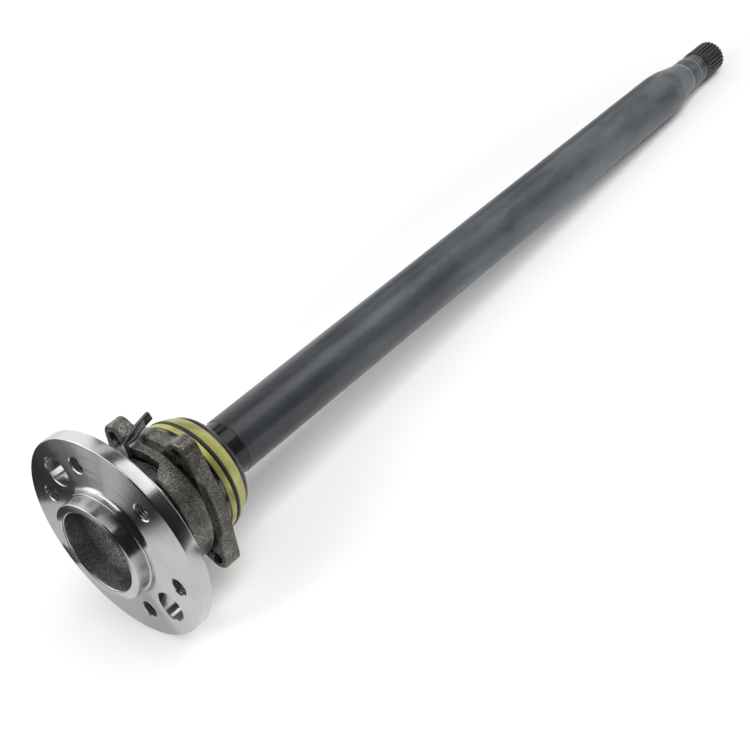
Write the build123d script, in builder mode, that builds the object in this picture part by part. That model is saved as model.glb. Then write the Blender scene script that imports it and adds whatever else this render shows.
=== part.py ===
from build123d import *
from math import acos, cos, degrees, hypot, radians, sin, tan
import os

os.makedirs("parts", exist_ok=True)

# Rear axle half shaft with its wheel bearing housing.
# Millimetres. +X runs along the shaft from the wheel face to the splines, +Z is up.
# The origin is the centre of the wheel mounting face. Angles go from +Y towards +Z.

# Wheel flange
flange_diameter = 175.0
flange_thickness = 11.5
flange_edge_chamfer = 1.3
wheel_bolt_gap_height = 23.0
wheel_bolt_count = 6
wheel_bolt_first_angle = 23.5
wheel_thread_diameter = 14.0
wheel_thread_chamfer = 1.0
access_hole_gap_height = 22.0
access_hole_diameter = 25.0
access_hole_angle = 53.5
access_hole_chamfer = 0.6

# Wheel pilot and the forged cup inside it
pilot_diameter = 84.0
pilot_height = 16.5
pilot_edge_chamfer = 0.8
pilot_root_step_height = 1.5
pilot_root_height = 5.2
pilot_root_fillet = 4.2
cup_rim_width = 7.0
cup_wall_draw = 7.0
cup_depth = 36.0
cup_dome_height = 10.0

# Hub behind the flange, in steps down to the bearing journal
hub_length = 9.5
hub_step_height = 2.0
hub_root_fillet = 6.0
deflector_seat_length = 10.0
deflector_seat_step_height = 3.0
seal_land_length = 19.0
seal_land_step_height = 2.0
bearing_shoulder_length = 2.0
bearing_shoulder_height = 6.0
journal_diameter = 50.0
journal_length = 47.0
relief_length = 21.0
relief_step_height = 0.5
step_chamfer = 0.4

# Shaft body, neck and splined end, counted back from the end of the splines
overall_reach = 902.0
body_step_height = 0.8
shoulder_blend_length = 14.0
taper_length = 34.0
taper_top_drop_height = 0.9
neck_length = 17.0
neck_step_height = 0.1
undercut_depth = 0.85
undercut_length = 15.0
spline_length = 34.0
spline_diameter = 34.1
spline_depth = 1.6
spline_count = 26
spline_space_share = 0.5
spline_runout_length = 5.0
spline_end_chamfer = 1.4
centre_hole_diameter = 8.0
centre_drill_diameter = 3.2
centre_drill_depth = 11.0

# Double row tapered roller bearing
bearing_section_height = 17.0
bearing_width = 32.0
roller_pitch_rise_height = 1.0
roller_section_share = 0.435
roller_count = 18
inner_race_angle = 8.0
outer_race_angle = 13.0
race_rib_width = 2.3
race_rib_height = 1.9
race_chamfer = 0.8
rolling_gap = 0.25
cage_thickness = 1.2
cage_rim_width = 1.5
cage_offset = 1.0

# Bearing housing
housing_nose_length = 20.0
barrel_wall_thickness = 7.3
barrel_edge_fillet = 1.5
barrel_swell_height = 0.9
barrel_swell_length = 3.0
seal_bore_step_height = 2.0
housing_shoulder_height = 4.0
housing_shoulder_length = 2.0
plate_offset = 0.4
plate_thickness = 13.8
plate_rim_height = 1.9
plate_edge_fillet = 2.0
ear_overhang_length = 6.11
ear_angle = 52.02
ear_radius = 10.0
ear_blend_radius = 12.0
housing_thread_diameter = 10.0
housing_thread_chamfer = 0.7
register_wall_thickness = 6.0
register_length = 7.5
spigot_wall_thickness = 2.5
spigot_length = 15.5
spigot_chamfer = 0.6

# Sensor notch in the top of the barrel and the bracket in it
notch_depth = 11.5
notch_mouth_half_width = 32.0
notch_root_half_width = 26.0
bracket_thickness = 1.7
bracket_fold_offset = 4.6
bracket_clearance = 0.7
bracket_shoulder_height = 2.7
bracket_foot_width = 16.0
bracket_foot_reach_length = 1.4
bracket_foot_side_height = 3.0
bracket_foot_corner_length = 2.0
bracket_fold_radius = 1.2
bracket_rise_height = 6.6
bracket_rise_length = 14.5
bracket_arm_length = 13.5
bracket_tip_height = 2.8
bracket_arm_height = 6.4
bracket_tip_lean_length = 1.2
bracket_knee_lead_length = 2.0
bracket_knee_setback_length = 5.0

# Retaining ring behind the bearing
circlip_thickness = 1.75
circlip_width = 3.6
circlip_groove_depth = 1.2
circlip_lug_radius = 3.2
circlip_lug_hole = 2.0
circlip_gap_angle = 24.0

# Seal carrier, its ring and the inboard seal
carrier_wall_thickness = 4.3
carrier_length = 19.5
carrier_tail_drop_height = 4.6
carrier_tail_bulge = 0.7
carrier_front_chamfer = 0.7
o_ring_offset_length = 5.0
o_ring_thickness = 3.4
o_ring_proud_height = 0.5
o_ring_side_gap = 0.1
inner_seal_step_height = 3.5
inner_seal_wall_thickness = 2.4
inner_seal_nose_step_height = 0.5
inner_seal_tip_drop_height = 3.7
inner_seal_nose_length = 6.5
inner_seal_insert_length = 6.0
seal_web_thickness = 1.5
inner_seal_web_gap_height = 3.25

# Outboard seal, sensor ring and dirt deflector
outer_seal_width = 6.0
outer_seal_thickness = 1.3
outer_seal_web_gap_height = 3.5
seal_lip_gap = 0.3
seal_lip_length = 5.2
seal_lip_thickness = 1.5
seal_lip_height = 1.1
garter_diameter = 1.6
spring_seat_gap = 0.1
encoder_clearance = 0.6
encoder_width = 9.0
encoder_band_thickness = 1.4
encoder_thickness = 2.0
deflector_thickness = 1.6
deflector_setback_height = 1.3
deflector_rim_width = 4.4
collar_wall_thickness = 6.0
seat_clearance = 0.2

# Diameters of the shaft that follow, each a step from the one before
wheel_bolt_circle_diameter = pilot_diameter + 2 * wheel_bolt_gap_height
access_hole_circle_diameter = pilot_diameter + 2 * access_hole_gap_height
cup_mouth_diameter = pilot_diameter - 2 * cup_rim_width
cup_floor_diameter = cup_mouth_diameter - 2 * cup_wall_draw
pilot_root_diameter = pilot_diameter + 2 * pilot_root_step_height
bearing_shoulder_diameter = journal_diameter + 2 * bearing_shoulder_height
seal_land_diameter = bearing_shoulder_diameter + 2 * seal_land_step_height
deflector_seat_diameter = seal_land_diameter + 2 * deflector_seat_step_height
hub_diameter = deflector_seat_diameter + 2 * hub_step_height
body_diameter = journal_diameter - 2 * body_step_height
relief_diameter = body_diameter - 2 * relief_step_height
taper_top_diameter = body_diameter - 2 * taper_top_drop_height
neck_diameter = spline_diameter + 2 * neck_step_height
undercut_diameter = spline_diameter - 2 * undercut_depth

# Diameters of the bearing and of what is built round it, from the inside out
bearing_outer_diameter = journal_diameter + 2 * bearing_section_height
roller_pitch_diameter = journal_diameter + bearing_section_height + 2 * roller_pitch_rise_height
roller_diameter = bearing_section_height * roller_section_share
collar_diameter = journal_diameter + 2 * collar_wall_thickness
housing_shoulder_diameter = bearing_outer_diameter - 2 * housing_shoulder_height
seal_bore_diameter = bearing_outer_diameter + 2 * seal_bore_step_height
barrel_diameter = seal_bore_diameter + 2 * barrel_wall_thickness
plate_diameter = barrel_diameter + 2 * plate_rim_height
ear_reach = plate_diameter / 2 + ear_overhang_length
ear_spacing_y = 2 * ear_reach * cos(radians(ear_angle))
ear_spacing_z = 2 * ear_reach * sin(radians(ear_angle))
register_diameter = bearing_outer_diameter + 2 * register_wall_thickness
spigot_diameter = bearing_outer_diameter + 2 * spigot_wall_thickness
carrier_diameter = spigot_diameter + 2 * carrier_wall_thickness
carrier_tail_diameter = carrier_diameter - 2 * carrier_tail_drop_height
inner_seal_bore = spigot_diameter - 2 * inner_seal_step_height
inner_seal_nose_diameter = carrier_tail_diameter - 2 * inner_seal_nose_step_height
inner_seal_tip_diameter = inner_seal_nose_diameter - 2 * inner_seal_tip_drop_height
inner_seal_web_diameter = collar_diameter + 2 * inner_seal_web_gap_height
outer_seal_web_diameter = seal_land_diameter + 2 * outer_seal_web_gap_height
encoder_diameter = seal_bore_diameter - 2 * encoder_clearance
deflector_diameter = barrel_diameter - 2 * deflector_setback_height

# Stations along the shaft
flange_back = flange_thickness
hub_end = flange_back + hub_length
deflector_seat_end = hub_end + deflector_seat_length
seal_land_end = deflector_seat_end + seal_land_length
bearing_front = seal_land_end + bearing_shoulder_length
journal_end = bearing_front + journal_length
relief_end = journal_end + relief_length
spline_start = overall_reach - spline_length
undercut_start = spline_start - undercut_length
neck_start = undercut_start - neck_length
taper_start = neck_start - taper_length
body_end = taper_start - shoulder_blend_length
bearing_back = bearing_front + bearing_width
bearing_middle = (bearing_front + bearing_back) / 2

# Stations along the housing
barrel_front = bearing_front - housing_nose_length
housing_shoulder = bearing_front - housing_shoulder_length
plate_front = bearing_front + plate_offset
plate_back = plate_front + plate_thickness
register_end = plate_back + register_length
spigot_end = register_end + spigot_length
carrier_end = register_end + carrier_length
seal_tip = carrier_end + inner_seal_nose_length
notch_end = barrel_front + notch_depth
circlip_front = bearing_back + seat_clearance


def turned(profile):
    """A ring or shaft turned from a closed outline of (station, radius) corners."""
    with BuildPart() as piece:
        with BuildSketch(Plane.XZ):
            with BuildLine():
                Polyline(*profile, close=True)
            make_face()
        revolve(axis=Axis.X)
    return piece


def turned_edges(piece, station, diameter):
    """The round edges centred on the shaft at one station and of one diameter."""
    round_edges = piece.edges().filter_by(GeomType.CIRCLE)
    return round_edges.filter_by(
        lambda edge: abs(edge.arc_center.X - station) < 0.02
        and hypot(edge.arc_center.Y, edge.arc_center.Z) < 0.02
        and abs(edge.radius - diameter / 2) < 0.02
    )


def hole_edges(piece, station, diameter):
    """The round edges of off-centre holes at one station and of one diameter."""
    round_edges = piece.edges().filter_by(GeomType.CIRCLE)
    return round_edges.filter_by(
        lambda edge: abs(edge.arc_center.X - station) < 0.02
        and hypot(edge.arc_center.Y, edge.arc_center.Z) > 1.0
        and abs(edge.radius - diameter / 2) < 0.02
    )


# Axle shaft: wheel flange, pilot, hub, journal, body and splined end in one forging
pilot_front = -pilot_height
pilot_step = -pilot_root_height

with BuildPart() as axle_shaft:
    with BuildSketch(Plane.XZ):
        with BuildLine():
            front = Polyline(
                (overall_reach, 0),
                (pilot_front, 0),
                (pilot_front, pilot_diameter / 2),
                (pilot_step, pilot_diameter / 2),
                (pilot_step, pilot_root_diameter / 2),
                (0, pilot_root_diameter / 2),
                (0, flange_diameter / 2),
                (flange_back, flange_diameter / 2),
                (flange_back, hub_diameter / 2),
                (hub_end, hub_diameter / 2),
                (hub_end, deflector_seat_diameter / 2),
                (deflector_seat_end, deflector_seat_diameter / 2),
                (deflector_seat_end, seal_land_diameter / 2),
                (seal_land_end, seal_land_diameter / 2),
                (seal_land_end, bearing_shoulder_diameter / 2),
                (bearing_front, bearing_shoulder_diameter / 2),
                (bearing_front, journal_diameter / 2),
                (journal_end, journal_diameter / 2),
                (journal_end, relief_diameter / 2),
                (relief_end, relief_diameter / 2),
                (relief_end + step_chamfer, body_diameter / 2),
                (body_end, body_diameter / 2),
            )
            blend = TangentArc(
                front @ 1,
                (taper_start, taper_top_diameter / 2),
                tangent=(1, 0),
            )
            neck_corner = (neck_start, neck_diameter / 2)
            Polyline(
                blend @ 1,
                neck_corner,
                (undercut_start, neck_diameter / 2),
                (undercut_start + (neck_diameter - undercut_diameter), undercut_diameter / 2),
                (spline_start, undercut_diameter / 2),
                (spline_start, spline_diameter / 2),
                (overall_reach, spline_diameter / 2),
                (overall_reach, 0),
            )
        make_face()
    revolve(axis=Axis.X)

    # Turned corners
    chamfer(turned_edges(axle_shaft, pilot_front, pilot_diameter), pilot_edge_chamfer)
    chamfer(turned_edges(axle_shaft, pilot_step, pilot_root_diameter), pilot_edge_chamfer)
    fillet(turned_edges(axle_shaft, 0, pilot_root_diameter), pilot_root_fillet)
    fillet(turned_edges(axle_shaft, flange_back, hub_diameter), hub_root_fillet)
    chamfer(turned_edges(axle_shaft, 0, flange_diameter), flange_edge_chamfer)
    chamfer(turned_edges(axle_shaft, flange_back, flange_diameter), flange_edge_chamfer)
    fillet(turned_edges(axle_shaft, neck_start, neck_diameter), neck_diameter / 4)
    chamfer(turned_edges(axle_shaft, overall_reach, spline_diameter), spline_end_chamfer)

    # Centre drilling in the splined end, with a cone of 60 degrees
    centre_cone_depth = (centre_hole_diameter - centre_drill_diameter) / 2 / tan(radians(30))
    with BuildSketch(Plane.XZ):
        with BuildLine():
            Polyline(
                (overall_reach, 0),
                (overall_reach, centre_hole_diameter / 2),
                (overall_reach - centre_cone_depth, centre_drill_diameter / 2),
                (overall_reach - centre_drill_depth, centre_drill_diameter / 2),
                (overall_reach - centre_drill_depth, 0),
                close=True,
            )
        make_face()
    revolve(axis=Axis.X, mode=Mode.SUBTRACT)

    # Forged cup in the pilot, narrowing to a domed floor
    with BuildSketch(Plane.XZ):
        with BuildLine():
            cup_floor = pilot_front + cup_depth
            cup_wall_end = cup_floor - cup_dome_height
            Polyline(
                (cup_floor, 0),
                (pilot_front, 0),
                (pilot_front, cup_mouth_diameter / 2),
                (cup_wall_end, cup_floor_diameter / 2),
            )
            EllipticalCenterArc(
                (cup_wall_end, 0),
                cup_dome_height,
                cup_floor_diameter / 2,
                start_angle=0,
                arc_size=90,
            )
        make_face()
    revolve(axis=Axis.X, mode=Mode.SUBTRACT)
    chamfer(turned_edges(axle_shaft, pilot_front, cup_mouth_diameter), pilot_edge_chamfer)

    # Tapped wheel bolt holes, and two large holes that line up with the housing bolts
    with BuildSketch(Plane.YZ):
        with PolarLocations(wheel_bolt_circle_diameter / 2, wheel_bolt_count, wheel_bolt_first_angle):
            Circle(wheel_thread_diameter / 2)
        with PolarLocations(access_hole_circle_diameter / 2, 2, access_hole_angle):
            Circle(access_hole_diameter / 2)
    extrude(amount=flange_thickness, mode=Mode.SUBTRACT)
    for face_station in (0, flange_back):
        chamfer(
            hole_edges(axle_shaft, face_station, wheel_thread_diameter),
            wheel_thread_chamfer,
        )
        chamfer(
            hole_edges(axle_shaft, face_station, access_hole_diameter),
            access_hole_chamfer,
        )

    # Spline spaces: each cutter runs the length of the splines and ramps out at its end
    space_root = spline_diameter / 2 - spline_depth
    space_width = 3.1416 * spline_diameter / spline_count * spline_space_share
    ramp_start = spline_start - spline_runout_length
    with BuildSketch(Plane.XZ):
        with BuildLine():
            Polyline(
                (overall_reach + 1, space_root),
                (spline_start, space_root),
                (ramp_start, spline_diameter / 2 + 1),
                (overall_reach + 1, spline_diameter / 2 + 1),
                close=True,
            )
        make_face()
    space_cutter = extrude(amount=space_width / 2, both=True, mode=Mode.PRIVATE)
    for tooth in range(spline_count):
        add(
            space_cutter.rotate(Axis.X, tooth * 360 / spline_count),
            mode=Mode.SUBTRACT,
        )

axle_shaft.part.label = "axle_shaft"
export_step(axle_shaft.part, "parts/axle_shaft.step")

# Dirt deflector pressed on the hub, with a rim just ahead of the barrel
deflector_front = hub_end + seat_clearance
deflector_back = deflector_seat_end - seat_clearance
deflector_bore = deflector_seat_diameter / 2
deflector_ring = turned(
    [
        (deflector_front, deflector_bore),
        (deflector_front, deflector_bore + deflector_thickness),
        (deflector_back - deflector_thickness, deflector_bore + deflector_thickness),
        (deflector_back - deflector_thickness, deflector_diameter / 2 - deflector_thickness),
        (deflector_back - deflector_rim_width, deflector_diameter / 2 - deflector_thickness),
        (deflector_back - deflector_rim_width, deflector_diameter / 2),
        (deflector_back, deflector_diameter / 2),
        (deflector_back, deflector_bore),
    ]
)
with deflector_ring:
    fillet(
        turned_edges(deflector_ring, deflector_back, deflector_diameter),
        deflector_thickness * 0.8,
    )
deflector_ring.part.label = "deflector_ring"
export_step(deflector_ring.part, "parts/deflector_ring.step")

# Sensor ring under the notch: a steel hoop on the hub with a rubber band bonded to it
encoder_front = deflector_seat_end + seat_clearance + 1
encoder_back = encoder_front + encoder_width
encoder_hoop_outer = encoder_diameter / 2 - encoder_band_thickness
encoder_hoop = turned(
    [
        (encoder_front, encoder_hoop_outer),
        (encoder_back, encoder_hoop_outer),
        (encoder_back, seal_land_diameter / 2),
        (encoder_front, seal_land_diameter / 2),
        (encoder_front, seal_land_diameter / 2 + encoder_thickness),
        (encoder_back - encoder_thickness, seal_land_diameter / 2 + encoder_thickness),
        (encoder_back - encoder_thickness, encoder_hoop_outer - encoder_thickness),
        (encoder_front, encoder_hoop_outer - encoder_thickness),
    ]
)
encoder_hoop.part.label = "encoder_hoop"
export_step(encoder_hoop.part, "parts/encoder_hoop.step")

encoder_rubber = turned(
    [
        (encoder_front, encoder_hoop_outer),
        (encoder_front, encoder_diameter / 2),
        (encoder_back, encoder_diameter / 2),
        (encoder_back, encoder_hoop_outer),
    ]
)
encoder_rubber.part.label = "encoder_rubber"
export_step(encoder_rubber.part, "parts/encoder_rubber.step")

# Bearing rows: race and roller lines, mirrored about the middle of the bearing
roller_tilt = (inner_race_angle + outer_race_angle) / 2
roller_half_cone = (outer_race_angle - inner_race_angle) / 2
roller_end_lean = 1.1 * roller_diameter * sin(radians(roller_tilt))
row_track_width = bearing_width / 2 - 2 * race_rib_width
roller_length = row_track_width - 2 * rolling_gap - roller_end_lean
race_offset = (roller_diameter / 2 + rolling_gap) / cos(radians(roller_tilt))


def race_radius(side, station, race_angle, outward):
    """Radius of a race line at a station: side is -1 outboard or 1 inboard."""
    row_middle = bearing_middle + side * bearing_width / 4
    slope = side * tan(radians(race_angle)) * (station - row_middle)
    return roller_pitch_diameter / 2 + outward * race_offset + slope


def inner_race(side):
    """One cone of the bearing, with a high rib at its outer end."""
    outer_end = bearing_middle + side * bearing_width / 2
    track_outer = outer_end - side * race_rib_width
    track_inner = bearing_middle + side * race_rib_width
    track_top = race_radius(side, track_outer, inner_race_angle, -1)
    track_foot = race_radius(side, track_inner, inner_race_angle, -1)
    cone = turned(
        [
            (outer_end, journal_diameter / 2),
            (outer_end, track_top + race_rib_height),
            (track_outer, track_top + race_rib_height),
            (track_outer, track_top),
            (track_inner, track_foot),
            (track_inner, track_foot + race_rib_height / 3),
            (bearing_middle, track_foot + race_rib_height / 3),
            (bearing_middle, journal_diameter / 2),
        ]
    )
    with cone:
        chamfer(turned_edges(cone, outer_end, journal_diameter), race_chamfer)
    return cone


def roller_planes(side):
    """A plane at the middle of each roller, its normal along the roller's axis."""
    row_middle = bearing_middle + side * bearing_width / 4
    planes = []
    for roller in range(roller_count):
        angle = radians(roller * 360 / roller_count)
        planes.append(
            Plane(
                origin=(
                    row_middle,
                    roller_pitch_diameter / 2 * cos(angle),
                    roller_pitch_diameter / 2 * sin(angle),
                ),
                x_dir=(0, -sin(angle), cos(angle)),
                z_dir=(
                    side * cos(radians(roller_tilt)),
                    sin(radians(roller_tilt)) * cos(angle),
                    sin(radians(roller_tilt)) * sin(angle),
                ),
            )
        )
    return planes


def roller_row(side):
    """The tapered rollers of one row, large ends outward."""
    end_change = roller_length / 2 * tan(radians(roller_half_cone))
    with BuildPart() as row:
        with Locations(*roller_planes(side)):
            Cone(
                roller_diameter / 2 - end_change,
                roller_diameter / 2 + end_change,
                roller_length,
            )
    return row


def cage(side):
    """A pressed cone with a pocket for each roller and a plain rim at each end."""
    row_middle = bearing_middle + side * bearing_width / 4
    half_width = (roller_length / 2 + cage_rim_width + rolling_gap) * cos(radians(roller_tilt))
    end_slope = tan(radians(roller_tilt)) * half_width
    inside = roller_pitch_diameter / 2 + cage_offset
    outside = inside + cage_thickness / cos(radians(roller_tilt))
    pocket_width = roller_diameter + 2 * roller_length * tan(radians(roller_half_cone)) / 2
    shell = turned(
        [
            (row_middle - side * half_width, inside - end_slope),
            (row_middle - side * half_width, outside - end_slope),
            (row_middle + side * half_width, outside + end_slope),
            (row_middle + side * half_width, inside + end_slope),
        ]
    )
    with shell:
        with Locations(*roller_planes(side)):
            Box(
                pocket_width + 2 * rolling_gap,
                4 * (cage_offset + cage_thickness),
                roller_length + 2 * rolling_gap,
                mode=Mode.SUBTRACT,
            )
    return shell


inner_race_outboard = inner_race(-1)
inner_race_outboard.part.label = "inner_race_outboard"
export_step(inner_race_outboard.part, "parts/inner_race_outboard.step")

inner_race_inboard = inner_race(1)
inner_race_inboard.part.label = "inner_race_inboard"
export_step(inner_race_inboard.part, "parts/inner_race_inboard.step")

rollers_outboard = roller_row(-1)
rollers_outboard.part.label = "rollers_outboard"
export_step(rollers_outboard.part, "parts/rollers_outboard.step")

rollers_inboard = roller_row(1)
rollers_inboard.part.label = "rollers_inboard"
export_step(rollers_inboard.part, "parts/rollers_inboard.step")

cage_outboard = cage(-1)
cage_outboard.part.label = "cage_outboard"
export_step(cage_outboard.part, "parts/cage_outboard.step")

cage_inboard = cage(1)
cage_inboard.part.label = "cage_inboard"
export_step(cage_inboard.part, "parts/cage_inboard.step")

# Outer race with both tracks, closest to the rollers' axis at its middle
bearing_outer_race = turned(
    [
        (bearing_front, bearing_outer_diameter / 2),
        (bearing_front, race_radius(-1, bearing_front, outer_race_angle, 1)),
        (bearing_middle, race_radius(-1, bearing_middle, outer_race_angle, 1)),
        (bearing_back, race_radius(1, bearing_back, outer_race_angle, 1)),
        (bearing_back, bearing_outer_diameter / 2),
    ]
)
with bearing_outer_race:
    for end_station in (bearing_front, bearing_back):
        chamfer(
            turned_edges(bearing_outer_race, end_station, bearing_outer_diameter),
            race_chamfer,
        )
bearing_outer_race.part.label = "bearing_outer_race"
export_step(bearing_outer_race.part, "parts/bearing_outer_race.step")

# Lock collar pressed on behind the inner races, running inside the inboard seal
lock_collar = turned(
    [
        (bearing_back, journal_diameter / 2),
        (bearing_back, collar_diameter / 2),
        (journal_end, collar_diameter / 2),
        (journal_end, journal_diameter / 2),
    ]
)
with lock_collar:
    chamfer(turned_edges(lock_collar, journal_end, collar_diameter), 3 * step_chamfer)
    chamfer(turned_edges(lock_collar, journal_end, journal_diameter), step_chamfer)
lock_collar.part.label = "lock_collar"
export_step(lock_collar.part, "parts/lock_collar.step")

# Bearing housing: barrel, four-eared plate, register and spigot in one casting
side_tangent_angle = degrees(acos((plate_diameter / 2 - ear_radius) / ear_reach))
tangent_direction = radians(ear_angle - side_tangent_angle)
ear_tangent_y = ear_spacing_y / 2 + ear_radius * cos(tangent_direction)
ear_tangent_z = ear_spacing_z / 2 + ear_radius * sin(tangent_direction)
plate_tangent_y = plate_diameter / 2 * cos(tangent_direction)
plate_tangent_z = plate_diameter / 2 * sin(tangent_direction)

with BuildPart() as bearing_housing:
    # Plate outline: a disc with four ears, straight down the sides and dipped between
    with BuildSketch(Plane.YZ.offset(plate_front)):
        Circle(plate_diameter / 2)
        with GridLocations(ear_spacing_y, ear_spacing_z, 2, 2):
            Circle(ear_radius)
        fillet(
            vertices().filter_by(
                lambda corner: abs(hypot(corner.X, corner.Y) - plate_diameter / 2) < 0.01
                and abs(corner.Y) > 1
            ),
            ear_blend_radius,
        )
        for side in (-1, 1):
            for end in (-1, 1):
                with BuildLine():
                    Polyline(
                        (0, 0),
                        (side * plate_tangent_y, end * plate_tangent_z),
                        (side * ear_tangent_y, end * ear_tangent_z),
                        (side * ear_spacing_y / 2, end * ear_spacing_z / 2),
                        close=True,
                    )
                make_face()
    extrude(amount=plate_thickness)
    plate_rim = bearing_housing.edges().group_by(Axis.X)[0]
    fillet(plate_rim, plate_edge_fillet)

    # Barrel ahead of the plate, register and spigot behind it
    swell_start = plate_front - barrel_swell_length
    with BuildSketch(Plane.XZ):
        with BuildLine():
            barrel_top = Polyline(
                (plate_front + plate_edge_fillet, 0),
                (barrel_front, 0),
                (barrel_front, barrel_diameter / 2),
                (swell_start, barrel_diameter / 2),
            )
            swell = TangentArc(
                barrel_top @ 1,
                (plate_front + 0.4, barrel_diameter / 2 + barrel_swell_height),
                tangent=(1, 0),
            )
            Polyline(
                swell @ 1,
                (plate_front + plate_edge_fillet, barrel_diameter / 2),
                (plate_front + plate_edge_fillet, 0),
            )
        make_face()
    revolve(axis=Axis.X)
    with BuildSketch(Plane.YZ.offset(plate_back)):
        Circle(register_diameter / 2)
    extrude(amount=register_length)
    with BuildSketch(Plane.YZ.offset(register_end)):
        Circle(spigot_diameter / 2)
    extrude(amount=spigot_length)
    fillet(
        turned_edges(bearing_housing, barrel_front, barrel_diameter),
        barrel_edge_fillet,
    )
    chamfer(turned_edges(bearing_housing, spigot_end, spigot_diameter), spigot_chamfer)

    # Seal bore, bearing bore and the groove for the retaining ring
    with BuildSketch(Plane.YZ.offset(barrel_front)):
        Circle(seal_bore_diameter / 2)
    extrude(amount=housing_shoulder - barrel_front, mode=Mode.SUBTRACT)
    with BuildSketch(Plane.YZ.offset(housing_shoulder)):
        Circle(housing_shoulder_diameter / 2)
    extrude(amount=housing_shoulder_length, mode=Mode.SUBTRACT)
    with BuildSketch(Plane.YZ.offset(bearing_front)):
        Circle(bearing_outer_diameter / 2)
    extrude(amount=spigot_end - bearing_front, mode=Mode.SUBTRACT)
    with BuildSketch(Plane.YZ.offset(bearing_back)):
        Circle(bearing_outer_diameter / 2 + circlip_groove_depth)
    extrude(amount=circlip_thickness + 2 * seat_clearance, mode=Mode.SUBTRACT)
    chamfer(
        turned_edges(bearing_housing, barrel_front, seal_bore_diameter),
        barrel_edge_fillet / 2,
    )

    # Notch for the speed sensor, wider at the front edge of the barrel
    with BuildSketch(Plane.XY):
        with BuildLine():
            Polyline(
                (barrel_front - 1, -notch_mouth_half_width),
                (barrel_front, -notch_mouth_half_width),
                (notch_end, -notch_root_half_width),
                (notch_end, notch_root_half_width),
                (barrel_front, notch_mouth_half_width),
                (barrel_front - 1, notch_mouth_half_width),
                close=True,
            )
        make_face()
    extrude(amount=barrel_diameter, mode=Mode.SUBTRACT)

    # Tapped holes through the ears
    with BuildSketch(Plane.YZ.offset(plate_front)):
        with GridLocations(ear_spacing_y, ear_spacing_z, 2, 2):
            Circle(housing_thread_diameter / 2)
    extrude(amount=plate_thickness, mode=Mode.SUBTRACT)
    for face_station, inward in ((plate_front, 1), (plate_back, -1)):
        with BuildSketch(Plane.YZ.offset(face_station)):
            with GridLocations(ear_spacing_y, ear_spacing_z, 2, 2):
                Circle(housing_thread_diameter / 2 + housing_thread_chamfer)
        extrude(amount=inward * housing_thread_chamfer, taper=45, mode=Mode.SUBTRACT)

bearing_housing.part.label = "bearing_housing"
export_step(bearing_housing.part, "parts/bearing_housing.step")

# Retaining ring that holds the outer race, open at the bottom between two lugs
circlip_outer = bearing_outer_diameter / 2 + circlip_groove_depth - seat_clearance / 2
circlip_inner = circlip_outer - circlip_width
lug_centre = circlip_inner - circlip_lug_radius / 3
with BuildPart() as bearing_circlip:
    with BuildSketch(Plane.YZ.offset(circlip_front)):
        Circle(circlip_outer)
        Circle(circlip_inner, mode=Mode.SUBTRACT)
        with Locations(
            (
                lug_centre * cos(radians(-90 - circlip_gap_angle)),
                lug_centre * sin(radians(-90 - circlip_gap_angle)),
            ),
            (
                lug_centre * cos(radians(-90 + circlip_gap_angle)),
                lug_centre * sin(radians(-90 + circlip_gap_angle)),
            ),
        ):
            Circle(circlip_lug_radius)
            Circle(circlip_lug_hole / 2, mode=Mode.SUBTRACT)
        with BuildLine():
            Polyline(
                (0, 0),
                (
                    2 * circlip_outer * cos(radians(-90 - circlip_gap_angle / 2)),
                    2 * circlip_outer * sin(radians(-90 - circlip_gap_angle / 2)),
                ),
                (
                    2 * circlip_outer * cos(radians(-90 + circlip_gap_angle / 2)),
                    2 * circlip_outer * sin(radians(-90 + circlip_gap_angle / 2)),
                ),
                close=True,
            )
        make_face(mode=Mode.SUBTRACT)
    extrude(amount=circlip_thickness)
bearing_circlip.part.label = "bearing_circlip"
export_step(bearing_circlip.part, "parts/bearing_circlip.step")

# Seal carrier over the spigot, grooved for its ring
o_ring_start = register_end + o_ring_offset_length
o_ring_end = o_ring_start + o_ring_thickness + 2 * o_ring_side_gap
o_ring_outer = carrier_diameter / 2 + o_ring_proud_height
groove_bottom = o_ring_outer - o_ring_thickness - o_ring_side_gap
tail_middle = (
    (o_ring_end + carrier_end) / 2,
    (carrier_diameter + carrier_tail_diameter) / 4 + carrier_tail_bulge,
)
with BuildPart() as seal_carrier:
    with BuildSketch(Plane.XZ):
        with BuildLine():
            Polyline(
                (carrier_end, carrier_tail_diameter / 2),
                (carrier_end, inner_seal_bore / 2),
                (spigot_end, inner_seal_bore / 2),
                (spigot_end, spigot_diameter / 2),
                (register_end, spigot_diameter / 2),
                (register_end, carrier_diameter / 2),
                (o_ring_start, carrier_diameter / 2),
                (o_ring_start, groove_bottom),
                (o_ring_end, groove_bottom),
                (o_ring_end, carrier_diameter / 2),
            )
            ThreePointArc(
                (o_ring_end, carrier_diameter / 2),
                tail_middle,
                (carrier_end, carrier_tail_diameter / 2),
            )
        make_face()
    revolve(axis=Axis.X)
    chamfer(
        turned_edges(seal_carrier, register_end, carrier_diameter),
        carrier_front_chamfer,
    )
seal_carrier.part.label = "seal_carrier"
export_step(seal_carrier.part, "parts/seal_carrier.step")

# Rubber ring in the carrier's groove
o_ring_middle = (o_ring_start + o_ring_end) / 2
with BuildPart() as carrier_o_ring:
    with BuildSketch(Plane.XZ):
        with Locations((o_ring_middle, o_ring_outer - o_ring_thickness / 2)):
            Circle(o_ring_thickness / 2)
    revolve(axis=Axis.X)
carrier_o_ring.part.label = "carrier_o_ring"
export_step(carrier_o_ring.part, "parts/carrier_o_ring.step")

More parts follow.
